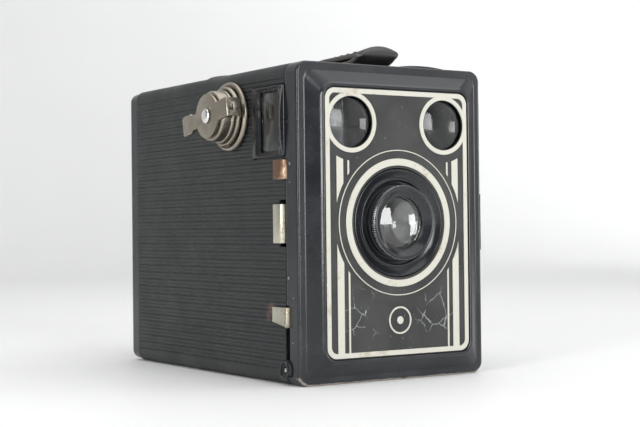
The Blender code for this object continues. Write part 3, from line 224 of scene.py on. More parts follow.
class Effect:
    """Shader node groups that several finishes share."""

    @staticmethod
    def start(name: str, inputs: dict[str, float], outputs: Sequence[str]) -> tuple[Tree, Outputs, Inputs]:
        """Start a group with plain float sockets.

        Args:
            name: the group's name.
            inputs: the inputs' names and usual values.
            outputs: the outputs' names.

        Returns:
            The tree, the sockets that bring its inputs and the sockets that take its outputs.
        """
        tree = bpy.data.node_groups.new(name, "ShaderNodeTree")
        for label, value in inputs.items():
            socket = tree.interface.new_socket(label, in_out="INPUT", socket_type="NodeSocketFloat")
            socket.default_value = value
        for label in outputs:
            tree.interface.new_socket(label, in_out="OUTPUT", socket_type="NodeSocketFloat")
        pen = Tree(tree)
        return pen, pen.add("NodeGroupInput").outputs, pen.add("NodeGroupOutput").inputs

    @staticmethod
    def use(pen: Tree, group: NodeTree, **values: object) -> Outputs:
        """Place a group in a material, its inputs given by name."""
        return pen.add("ShaderNodeGroup", values, node_tree=group).outputs

    @staticmethod
    @cache
    def wear() -> NodeTree:
        """Make the group for worn edges, which wear more towards the foot.

        Returns:
            Group with the masks Bare and Rubbed.
        """
        pen, given, out = Effect.start("Worn edges", {"Amount": 0.1}, ("Bare", "Rubbed"))
        place = pen.coords()
        edge = pen.edge()
        height = pen.add("ShaderNodeSeparateXYZ", {0: place}).outputs[2]
        foot = pen.ramp(height, 0.006, 0.0, 0.0, 0.32)
        total = pen.math("ADD", pen.math("MULTIPLY", edge, 0.46), pen.math("MULTIPLY", foot, edge))
        total = pen.math("ADD", total, pen.math("MULTIPLY", pen.noise(place, 190, 5, 0.7), 0.55))
        total = pen.math("ADD", total, pen.math("MULTIPLY", pen.noise(place, 900, 3, 0.6), 0.18))
        over = pen.math("SUBTRACT", total, pen.math("SUBTRACT", 1.16, given["Amount"]))
        pen.feed(out["Bare"], pen.ramp(over, 0.0, 0.035))
        pen.feed(out["Rubbed"], pen.ramp(over, -0.22, 0.02))
        return pen.tree

    @staticmethod
    @cache
    def grain() -> NodeTree:
        """Make the group for the pebbled grain of leather or leatherette.

        Returns:
            Group with the values Height and Tone.
        """
        pen, given, out = Effect.start("Grain", {"Scale": 1500}, ("Height", "Tone"))
        place = pen.coords()
        shifted = pen.drift(place, 500, 2, 0.0006)
        cells = pen.add("ShaderNodeTexVoronoi", {"Vector": shifted, "Scale": given["Scale"]}).outputs[0]
        dust = pen.noise(place, 2600, 3)
        pen.feed(out["Height"], pen.math("ADD", cells, pen.math("MULTIPLY", dust, 0.35)))
        pen.feed(out["Tone"], pen.noise(place, 70, 4, 0.65))
        return pen.tree

    @staticmethod
    @cache
    def smudge() -> NodeTree:
        """Make the group for gloss made uneven by handling, and for fine scratches.

        Returns:
            Group with the masks Cloud and Scratch.
        """
        pen, given, out = Effect.start("Smudges", {"Scale": 60}, ("Cloud", "Scratch"))
        place = pen.coords()
        stretch = {"Vector": place, "Rotation": (0.4, 0.7, 0.5), "Scale": (90, 1500, 700)}
        hair = pen.noise(pen.add("ShaderNodeMapping", stretch).outputs[0], 1.0, 2, 0.5)
        pen.feed(out["Cloud"], pen.noise(place, given["Scale"], 5, 0.6))
        pen.feed(out["Scratch"], pen.ramp(hair, 0.66, 0.72))
        return pen.tree


# ---- Finishes ----------------------------------------------------------------------------
@dataclass(frozen=True)
class Finish:
    """Name, colour and gloss of a finish; each kind of finish writes its own nodes."""

    name: str
    color: Point
    roughness: float = 0.4
    metallic: float = 0.0

    def material(self) -> bpy.types.Material:
        """Make the finish's material on first use.

        Returns:
            The material.
        """
        found = bpy.data.materials.get(self.name)
        if found is not None:
            return found
        material = bpy.data.materials.new(self.name)
        material.use_nodes = True
        shader = material.node_tree.nodes["Principled BSDF"].inputs
        shader["Base Color"].default_value = (*self.color, 1)
        shader["Roughness"].default_value = self.roughness
        shader["Metallic"].default_value = self.metallic
        self.dress(Tree(material.node_tree), shader)
        return material

    def dress(self, pen: Tree, shader: Inputs) -> None:
        """Give the shader this finish's own nodes."""
        raise NotImplementedError(self.name)

    def tinted(self, share: float) -> Point:
        """The finish's colour, made lighter or darker."""
        return tuple(min(c * share, 1) for c in self.color)

    def bump(self, pen: Tree, shader: Inputs, height: Socket, depth: float) -> None:
        """Put a height into the shader's normal, with its depth in metres."""
        node = pen.add("ShaderNodeBump", {"Height": height, "Distance": depth, "Strength": 1.0})
        pen.feed(shader["Normal"], node.outputs[0])


@dataclass(frozen=True)
class Paint(Finish):
    """Stoved black paint that wears to bare steel at its edges."""

    wear: float = 0.10
    bare: Point = (0.42, 0.38, 0.34)
    rubbed: Point = (0.105, 0.105, 0.105)
    chips: tuple[Point, ...] = ()       # x, depth, height and reach of each chip

    def dress(self, pen: Tree, shader: Inputs) -> None:
        """Mix paint, rubbed paint and bare metal by the wear masks.

        Args:
            pen: tree of the material.
            shader: inputs of its shader.
        """
        smudge = Effect.use(pen, Effect.smudge(), Scale=55.0)
        worn = Effect.use(pen, Effect.wear(), Amount=self.wear)
        bare = worn["Bare"]
        place = pen.coords()
        ragged = pen.math("MULTIPLY", pen.noise(place, 1500, 2), 0.0007)
        for x, depth, height, reach in self.chips:
            away = pen.math("ADD", pen.distance(place, x, depth, height), ragged)
            bare = pen.math("MAXIMUM", bare, pen.ramp(away, reach + 0.00035, reach + 0.00025))
        color = pen.mix(pen.ramp(smudge["Cloud"], 0.35, 0.7), self.color, self.tinted(1.9))
        color = pen.mix(pen.math("MULTIPLY", worn["Rubbed"], 0.55), color, self.rubbed)
        pen.feed(shader["Base Color"], pen.mix(bare, color, self.bare))
        gloss = pen.ramp(smudge["Cloud"], 0.35, 0.68, self.roughness - 0.04, self.roughness + 0.10)
        gloss = pen.math("ADD", gloss, pen.math("MULTIPLY", smudge["Scratch"], 0.08))
        pen.feed(shader["Roughness"], pen.math("ADD", gloss, pen.math("MULTIPLY", bare, 0.10), clamp=True))
        pen.feed(shader["Metallic"], bare)
        peel = pen.noise(place, 420, 2)
        self.bump(pen, shader, pen.math("SUBTRACT", peel, pen.math("MULTIPLY", bare, 1.2)), 0.00003)


@dataclass(frozen=True)
class Leatherette(Finish):
    """Coated cloth with a fine pebble, rubbed brown where fingers reach for the lever."""

    brown: Point = (0.115, 0.066, 0.050)
    stains: tuple[Point, ...] = ()      # x, depth, height and reach of each stain

    def dress(self, pen: Tree, shader: Inputs) -> None:
        """Mix the ground's tones and the stains, and add the pebble.

        Args:
            pen: tree of the material.
            shader: inputs of its shader.
        """
        grain = Effect.use(pen, Effect.grain(), Scale=2100.0)
        tone = grain["Tone"]
        color = pen.mix(pen.ramp(tone, 0.32, 0.68), self.tinted(0.62), self.color)
        place = pen.coords()
        ragged = pen.math("MULTIPLY", pen.noise(place, 700, 4, 0.7), 0.0030)
        for x, depth, height, reach in self.stains:
            away = pen.math("ADD", pen.distance(place, x, depth, height), ragged)
            color = pen.mix(pen.ramp(away, reach + 0.0024, reach + 0.0008, 0.0, 0.75), color, self.brown)
        pen.feed(shader["Base Color"], color)
        gloss = pen.ramp(tone, 0.3, 0.7, self.roughness - 0.08, self.roughness + 0.10)
        pen.feed(shader["Roughness"], gloss)
        self.bump(pen, shader, grain["Height"], 0.00005)


@dataclass(frozen=True)
class Enamel(Finish):
    """Black enamel with hairline cracks in its lower corners and a few flecks."""

    chalk: Point = (0.30, 0.31, 0.31)
    cracks: tuple[Point, ...] = ((-0.0150, -0.0300), (0.0155, -0.0310))     # x and height
    crack_reach: float = 0.0110

    def dress(self, pen: Tree, shader: Inputs) -> None:
        """Draw cracks where they are, flecks all over and a cloudy gloss.

        Args:
            pen: tree of the material.
            shader: inputs of its shader.
        """
        place = pen.coords()
        bent = pen.drift(place, 130, 4, 0.0055)
        cell = pen.add("ShaderNodeTexVoronoi", {"Vector": bent, "Scale": 150}, feature="DISTANCE_TO_EDGE")
        thin = pen.ramp(cell.outputs[0], 0.026, 0.006)
        region = 0.0
        for x, height in self.cracks:
            near = pen.ramp(pen.distance(place, x, 0, height), self.crack_reach, self.crack_reach * 0.45)
            region = pen.math("MAXIMUM", region, near)
        patch = pen.ramp(pen.noise(place, 200, 2), 0.40, 0.52)
        crack = pen.math("MULTIPLY", pen.math("MULTIPLY", thin, region), patch)
        fleck = pen.ramp(pen.noise(place, 1300, 2, 0.4), 0.755, 0.775)
        mark = pen.math("MAXIMUM", pen.math("MULTIPLY", crack, 0.75), pen.math("MULTIPLY", fleck, 0.5))
        cloud = pen.noise(place, 65, 5)
        color = pen.mix(pen.ramp(cloud, 0.35, 0.7), self.color, self.tinted(1.7))
        pen.feed(shader["Base Color"], pen.mix(mark, color, self.chalk))
        gloss = pen.ramp(cloud, 0.3, 0.7, self.roughness - 0.05, self.roughness + 0.12)
        pen.feed(shader["Roughness"], gloss)
        self.bump(pen, shader, pen.math("SUBTRACT", pen.noise(place, 300, 3), crack), 0.00003)


@dataclass(frozen=True)
class Metal(Finish):
    """Plated or bare metal, dulled and stained by age."""

    stain: Point = (0.30, 0.25, 0.19)
    stained: float = 0.35
    brushed: bool = False

    def dress(self, pen: Tree, shader: Inputs) -> None:
        """Stain the metal in clouds and give it fine marks.

        Args:
            pen: tree of the material.
            shader: inputs of its shader.
        """
        place = pen.coords()
        smudge = Effect.use(pen, Effect.smudge(), Scale=130.0)
        spots = pen.noise(place, 750, 5, 0.7)
        cloud = pen.math("ADD", smudge["Cloud"], pen.math("MULTIPLY", spots, 0.6))
        mask = pen.ramp(cloud, 1.02 - self.stained, 1.22 - self.stained)
        pen.feed(shader["Base Color"], pen.mix(mask, self.color, self.stain))
        gloss = pen.ramp(spots, 0.3, 0.7, self.roughness - 0.05, self.roughness + 0.08)
        gloss = pen.math("ADD", gloss, pen.math("MULTIPLY", mask, 0.16))
        scratch = pen.math("MULTIPLY", smudge["Scratch"], 0.08)
        pen.feed(shader["Roughness"], pen.math("ADD", gloss, scratch, clamp=True))
        height = pen.math("MULTIPLY", spots, 0.5)
        if self.brushed:
            stretch = pen.add("ShaderNodeMapping", {"Vector": place, "Scale": (6000, 300, 6000)}).outputs[0]
            height = pen.math("ADD", height, pen.noise(stretch, 1.0, 2))
        self.bump(pen, shader, height, 0.00001)


@dataclass(frozen=True)
class Glass(Finish):
    """Clear or tinted glass with a faint film of dust."""

    tint: Point = (1.0, 1.0, 1.0)
    dusty: float = 0.06
    index: float = 1.7

    def dress(self, pen: Tree, shader: Inputs) -> None:
        """Let light through and roughen the surface where dust lies.

        Args:
            pen: tree of the material.
            shader: inputs of its shader.
        """
        shader["Transmission Weight"].default_value = 1.0
        shader["IOR"].default_value = self.index
        film = pen.ramp(pen.noise(pen.coords(), 110, 5, 0.7), 0.40, 0.75)
        pen.feed(shader["Base Color"], pen.mix(pen.math("MULTIPLY", film, 0.3), self.color, self.tint))
        pen.feed(shader["Roughness"], pen.math("MULTIPLY", film, self.dusty))


@dataclass(frozen=True)
class Mirror(Finish):
    """Silvered glass with dull spots."""

    spotted: Point = (0.25, 0.24, 0.22)

    def dress(self, pen: Tree, shader: Inputs) -> None:
        """Dull the silver in small spots.

        Args:
            pen: tree of the material.
            shader: inputs of its shader.
        """
        spot = pen.ramp(pen.noise(pen.coords(), 480, 4), 0.60, 0.70)
        pen.feed(shader["Base Color"], pen.mix(spot, self.color, self.spotted))
        pen.feed(shader["Roughness"], pen.ramp(spot, 0, 1, self.roughness, 0.4))


@dataclass(frozen=True)
class Leather(Finish):
    """Black harness leather, creased and rubbed at its edges."""

    rubbed: Point = (0.085, 0.078, 0.072)

    def dress(self, pen: Tree, shader: Inputs) -> None:
        """Mix dull and rubbed leather, and add pores and creases.

        Args:
            pen: tree of the material.
            shader: inputs of its shader.
        """
        grain = Effect.use(pen, Effect.grain(), Scale=1300.0)
        stretch = {"Vector": pen.coords(), "Scale": (60, 420, 120)}
        crease = pen.noise(pen.add("ShaderNodeMapping", stretch).outputs[0], 1.0, 4, 0.6)
        color = pen.mix(pen.ramp(grain["Tone"], 0.3, 0.7), self.color, self.tinted(1.9))
        color = pen.mix(pen.math("MULTIPLY", pen.edge(), 0.8), color, self.rubbed)
        pen.feed(shader["Base Color"], color)
        gloss = pen.ramp(crease, 0.35, 0.65, self.roughness - 0.1, self.roughness + 0.12)
        pen.feed(shader["Roughness"], gloss)
        pores = pen.math("MULTIPLY", grain["Height"], 0.5)
        self.bump(pen, shader, pen.math("ADD", pores, pen.math("MULTIPLY", crease, 1.6)), 0.00012)


class Finishes:
    """Every finish of the camera."""

    GLOSS = Paint("Gloss black paint", (0.008, 0.009, 0.011), 0.19)
    DOOR = Paint("Chipped black paint", (0.008, 0.009, 0.011), 0.17, wear=0.13, chips=(
        # on the skirt's left side
        (-0.0377, 0.0048, 0.0194, 0.00055), (-0.0377, 0.0050, 0.0134, 0.00028),
        (-0.0377, 0.0028, 0.0127, 0.00018), (-0.0377, 0.0061, -0.0177, 0.00050),
        (-0.0377, 0.0033, -0.0240, 0.00030), (-0.0377, 0.0058, 0.0330, 0.00020),
        (-0.0377, 0.0040, -0.0385, 0.00025), (-0.0374, 0.0024, -0.0498, 0.00035),
        # on its right side and its top
        (0.0377, 0.0045, 0.0100, 0.00040), (0.0300, 0.0040, 0.0525, 0.00040),
        # on the rim's lower corners
        (-0.0372, 0.0008, -0.0502, 0.00080), (-0.0362, 0.0004, -0.0518, 0.00095),
        (-0.0335, 0.0003, -0.0524, 0.00050), (0.0368, 0.0006, -0.0508, 0.00070)))
    INSIDE = Paint("Matt black paint", (0.010, 0.010, 0.010), 0.62, wear=0.02)
    COVERING = Leatherette("Ribbed leatherette", (0.018, 0.020, 0.021), 0.50, stains=(
        (-0.0377, 0.0178, -0.0283, 0.0013), (-0.0377, 0.0192, -0.0310, 0.0009),
        (-0.0377, 0.0168, -0.0268, 0.0008)))
    ENAMEL = Enamel("Crazed black enamel", (0.013, 0.014, 0.013), 0.30)
    LINE = Metal("Tarnished white metal lines", (0.50, 0.49, 0.43), 0.40, 0.35, stain=(0.40, 0.37, 0.30),
                 stained=0.16)
    NICKEL = Metal("Dull nickel plate", (0.34, 0.305, 0.25), 0.30, 1.0, stain=(0.25, 0.21, 0.16),
                   stained=0.10)
    STRIP = Metal("Tarnished nickel strip", (0.58, 0.56, 0.46), 0.33, 1.0, stain=(0.34, 0.29, 0.20),
                  stained=0.22)
    BRIGHT = Metal("Bright nickel plate", (0.80, 0.79, 0.76), 0.20, 1.0, stained=0.05)
    BROWNED = Metal("Browned brass", (0.46, 0.34, 0.24), 0.36, 1.0, stain=(0.22, 0.13, 0.09), stained=0.36)
    STEEL = Metal("Bright steel", (0.50, 0.50, 0.49), 0.34, 1.0, stained=0.20, brushed=True)
    SPRING = Metal("Blued spring steel", (0.22, 0.23, 0.26), 0.30, 1.0, stained=0.15, brushed=True)
    MILLED = Metal("Milled edge", (0.72, 0.73, 0.74), 0.26, 1.0, stain=(0.14, 0.14, 0.14), stained=0.10)
    GLASS = Glass("Clear glass", (0.97, 0.99, 0.98), 0.02, dusty=0.03, index=1.85)
    FINDER = Glass("Dusty finder glass", (0.44, 0.45, 0.46), 0.09, dusty=0.25, index=1.45)
    SMOKY = Glass("Smoky glass", (0.42, 0.44, 0.44), 0.06, tint=(0.55, 0.56, 0.55), dusty=0.22)
    FILTER = Glass("Yellow filter", (0.95, 0.68, 0.05), 0.05, tint=(0.9, 0.6, 0.1))
    RED = Glass("Red celluloid", (0.45, 0.012, 0.008), 0.10, tint=(0.4, 0.05, 0.04))
    MIRROR = Mirror("Silvered mirror", (0.86, 0.87, 0.88), 0.03, 1.0)
    LEATHER = Leather("Black harness leather", (0.012, 0.011, 0.011), 0.46)
    THREAD = Leather("Waxed thread", (0.030, 0.028, 0.026), 0.60)
    NODES = {
        GLOSS: ("outer_case", "hinge_leaf_case", "hinge_leaf_door", "door_catch", "take_up_spool",
                "red_window_ring", "side_finder_frame", "top_finder_frame", "lens_dish", "lens_ring"),
        DOOR: ("door_panel",),
        INSIDE: ("pressure_plate", "side_finder_housing", "top_finder_housing", "light_cone", "lens_barrel",
                 "shutter_board", "slide_bridge"),
        COVERING: ("side_covering", "back_covering"),
        ENAMEL: ("faceplate",),
        NICKEL: ("key_flange", "key_bush", "key_drum", "key_plate", "strap_stud_front", "strap_stud_rear"),
        STRIP: ("release_lever", "aperture_slide"),
        BRIGHT: ("catch_stud", "film_roller_top", "film_roller_bottom", "key_rivet"),
        BROWNED: ("time_selector",),
        STEEL: ("carrier_plate_left", "carrier_plate_right", "take_up_stud", "supply_stud_left",
                "supply_stud_right", "hinge_pin", "shutter_pivot", "lever_pivot", "key_shaft"),
        SPRING: ("pressure_spring", "release_spring", "shutter_disc"),
        GLASS: ("lens_element",),
        FINDER: ("side_finder_lens", "top_finder_lens"),
        SMOKY: ("side_finder_window", "top_finder_window"),
        FILTER: ("yellow_filter",),
        RED: ("red_window_pane",),
        MIRROR: ("side_finder_mirror", "top_finder_mirror"),
        LEATHER: ("carry_strap",),
    }
    KEPT = {node: finish for finish, nodes in NODES.items() for node in nodes}


# ---- Shapes ------------------------------------------------------------------------------
def arc(centre: Point, radius: float, start: float, end: float, steps: int) -> Outline:
    """Points of an arc, both ends included, angles in degrees."""
    angles = [math.radians(start + (end - start) * i / steps) for i in range(steps + 1)]
    return [(centre[0] + radius * math.cos(a), centre[1] + radius * math.sin(a)) for a in angles]


def circle(centre: Point, radius: float, steps: int = ROUND) -> Outline:
    """Points of a full circle."""
    return arc(centre, radius, 0, 360, steps)[:-1]


def rounded(half_width: float, half_height: float, radius: float, centre: Point = (0, 0),
            steps: int = 10) -> Outline:
    """Draw a rectangle with round corners.

    Args:
        half_width: half of its width.
        half_height: half of its height.
        radius: its corners' radius.
        centre: its middle.
        steps: steps in a corner.

    Returns:
        Its points, counter-clockwise from the lower right corner.
    """
    points = []
    for turn, (sx, sy) in enumerate(((1, -1), (1, 1), (-1, 1), (-1, -1))):
        middle = (centre[0] + sx * (half_width - radius), centre[1] + sy * (half_height - radius))
        points += arc(middle, radius, 90 * turn - 90, 90 * turn, steps)
    return points


def box_outline(inset: float, radius: float) -> Outline:
    """Outline of the camera's box, drawn in by an inset."""
    return rounded(DATUM.half_x - inset, DATUM.half_z - inset, radius)


def place(point: Point, axis: Axis, level: float) -> Vector:
    """Place a point of an outline that is drawn across an axis.

    Args:
        point: depth and height on X, x and height on Y, x and depth on Z.
        axis: the axis it is drawn across.
        level: its place along that axis.

    Returns:
        The point in the frame.
    """
    if axis is Axis.X:
        return at(level, point[0], point[1])
    if axis is Axis.Y:
        return at(point[0], level, point[1])
    return at(point[0], point[1], level)


def smooth(points: Outline, steps: int = 6) -> Outline:
    """Run a Catmull-Rom curve through points.

    Args:
        points: points that the curve passes through.
        steps: steps between two of them.

    Returns:
        Points on the curve.
    """
    ends = [points[0], *points, points[-1]]
    line = []
    for a, b, c, d in zip(ends, ends[1:], ends[2:], ends[3:]):
        for i in range(steps):
            t = i / steps
            line.append(tuple(
                0.5 * (2 * q + (r - p) * t + (2 * p - 5 * q + 4 * r - s) * t ** 2
                       + (3 * q - p - 3 * r + s) * t ** 3)
                for p, q, r, s in zip(a, b, c, d)))
    return line + [points[-1]]


def dome(radius: float, edge: float, rise: float, steps: int = 12) -> Outline:
    """Draw the profile of a convex face.

    Args:
        radius: radius of the rim.
        edge: level of the rim.
        rise: how far the middle stands in front of it.
        steps: steps from rim to middle.

    Returns:
        Radius and level of each point, from the rim to the middle.
    """
    ball = (radius ** 2 + rise ** 2) / (2 * rise)
    return [(r, edge - math.sqrt(ball ** 2 - r * r) + ball - rise)
            for r in (radius * (1 - i / steps) for i in range(steps + 1))]


class Solid:
    """Closed mesh in the making."""

    def __init__(self, bm: bmesh.types.BMesh) -> None:
        """Keep the mesh."""
        self.bm = bm

    @classmethod
    def skin(cls, rings: Sequence[Sequence[Vector]], wrap: bool = False,
             worn: Sequence[float] | None = None) -> "Solid":
        """Skin matching rings of points.

        Args:
            rings: rings of points, all of one length.
            wrap: join the last ring to the first instead of capping both ends.
            worn: how far each ring is an edge that wears, 0 to 1.

        Returns:
            The closed solid.
        """
        bm = bmesh.new()
        layer = bm.verts.layers.float.new("edge")
        loops = [[bm.verts.new(point) for point in ring] for ring in rings]
        for loop, value in zip(loops, worn or ()):
            for vert in loop:
                vert[layer] = value
        pairs = list(zip(loops, loops[1:]))
        if wrap:
            pairs.append((loops[-1], loops[0]))
        for first, second in pairs:
            for i in range(len(first)):
                j = (i + 1) % len(first)
                bm.faces.new((first[i], first[j], second[j], second[i]))
        if not wrap:
            bm.faces.new(loops[0])
            bm.faces.new(loops[-1])
        bmesh.ops.recalc_face_normals(bm, faces=bm.faces)
        return cls(bm)

    @classmethod
    def slab(cls, outline: Outline, axis: Axis, low: float, high: float) -> "Solid":
        """Outline extruded along an axis."""
        return cls.skin([[place(p, axis, level) for p in outline] for level in (low, high)])

    @classmethod
    def block(cls, x: Point, depth: Point, height: Point) -> "Solid":
        """Box between pairs of x, depth and height."""
        corners = [(x[0], depth[0]), (x[1], depth[0]), (x[1], depth[1]), (x[0], depth[1])]
        return cls.slab(corners, Axis.Z, *height)

    @classmethod
    def turned(cls, profile: Outline, axis: Axis, centre: Point, segments: int = ROUND,
               worn: Sequence[float] | None = None) -> "Solid":
        """Turn a closed profile about an axis.

        Args:
            profile: radius and level of each point; a radius of 0 is a pole.
            axis: the axis.
            centre: the axis's place, drawn across it.
            segments: sides of the round.
            worn: how far each point is an edge that wears, 0 to 1.

        Returns:
            The closed solid.
        """
        bm = bmesh.new()
        layer = bm.verts.layers.float.new("edge")
        loops = []
        for index, (radius, level) in enumerate(profile):
            points = [centre] if radius == 0 else circle(centre, radius, segments)
            loops.append([bm.verts.new(place(p, axis, level)) for p in points])
            for vert in loops[-1]:
                vert[layer] = worn[index] if worn else 0.0
        for first, second in zip(loops, loops[1:] + loops[:1]):
            for i in range(segments):
                j = (i + 1) % segments
                corners = [first[i % len(first)], first[j % len(first)],
                           second[j % len(second)], second[i % len(second)]]
                corners = list(dict.fromkeys(corners))
                if len(corners) > 2:
                    bm.faces.new(corners)
        bmesh.ops.recalc_face_normals(bm, faces=bm.faces)
        return cls(bm)

    @classmethod
    def bore(cls, centre: Point, radius: float, axis: Axis, low: float, high: float,
             segments: int = ROUND) -> "Solid":
        """Round cutter."""
        return cls.slab(circle(centre, radius, segments), axis, low, high)

    @classmethod
    def from_node(cls, name: str) -> "Solid":
        """Copy a CAD node, its triangles merged into whole faces.

        Args:
            name: the node's name.

        Returns:
            The copy.
        """
        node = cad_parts[name]
        bm = bmesh.new()
        bm.from_mesh(node.data)
        bm.transform(node.matrix_world)
        bmesh.ops.remove_doubles(bm, verts=bm.verts, dist=0.000004)
        bmesh.ops.dissolve_limit(bm, angle_limit=math.radians(1.0), verts=bm.verts, edges=bm.edges)
        bmesh.ops.recalc_face_normals(bm, faces=bm.faces)
        return cls(bm)

    def object(self, name: str) -> bpy.types.Object:
        """Make a finished object at the origin.

        Args:
            name: the object's name.

        Returns:
            The object, its round faces shaded smooth.
        """
        mesh = bpy.data.meshes.new(name)
        self.bm.to_mesh(mesh)
        self.bm.free()
        mesh.shade_smooth()
        mesh.set_sharp_from_angle(angle=math.radians(34))
        obj = bpy.data.objects.new(name, mesh)
        bpy.context.scene.collection.objects.link(obj)
        return obj

    def combine(self, operation: str, tools: Iterable["Solid"]) -> "Solid":
        """Apply a Boolean with several tools and clear the helpers away.

        Args:
            operation: the Boolean's operation.
            tools: solids that are used up by it.

        Returns:
            The result.
        """
        group = bpy.data.collections.new("tools")
        bpy.context.scene.collection.children.link(group)
        helpers = []
        for tool in tools:
            helper = tool.object("tool")
            bpy.context.scene.collection.objects.unlink(helper)
            group.objects.link(helper)
            helpers.append(helper)
        target = self.object("target")
        modifier = target.modifiers.new("Boolean", "BOOLEAN")
        modifier.solver = "EXACT"
        modifier.operation = operation
        modifier.operand_type = "COLLECTION"
        modifier.collection = group
        depsgraph = bpy.context.evaluated_depsgraph_get()
        mesh = bpy.data.meshes.new_from_object(target.evaluated_get(depsgraph))
        bm = bmesh.new()
        bm.from_mesh(mesh)
        for obj in (*helpers, target):
            data = obj.data
            bpy.data.objects.remove(obj)
            bpy.data.meshes.remove(data)
        bpy.data.meshes.remove(mesh)
        bpy.data.collections.remove(group)
        return Solid(bm)

    def cut(self, *tools: "Solid") -> "Solid":
        """Cut tools from the solid."""
        return self.combine("DIFFERENCE", tools)

    def join(self, *tools: "Solid") -> "Solid":
        """Join overlapping tools to the solid."""
        return self.combine("UNION", tools)

    def soften(self, width: float = 0.00015, segments: int = 2, sharp: float = 30.0) -> "Solid":
        """Round every sharp edge, and mark the rounded strips as edges that wear.

        Args:
            width: width of the rounding.
            segments: faces across it.
            sharp: angle in degrees past which an edge is sharp.

        Returns:
            The solid itself.
        """
        bm = self.bm
        for layer in list(bm.verts.layers.float):
            bm.verts.layers.float.remove(layer)
        bmesh.ops.dissolve_degenerate(bm, edges=bm.edges, dist=0.000005)
        edges = [e for e in bm.edges if e.is_manifold and e.calc_face_angle() > math.radians(sharp)]
        strips = bmesh.ops.bevel(bm, geom=edges, offset=width, segments=segments, profile=0.5,
                                 affect="EDGES", clamp_overlap=True)["faces"]
        layer = bm.faces.layers.float.new("edge")
        for face in strips:
            if face.is_valid:
                face[layer] = 1.0
        return self


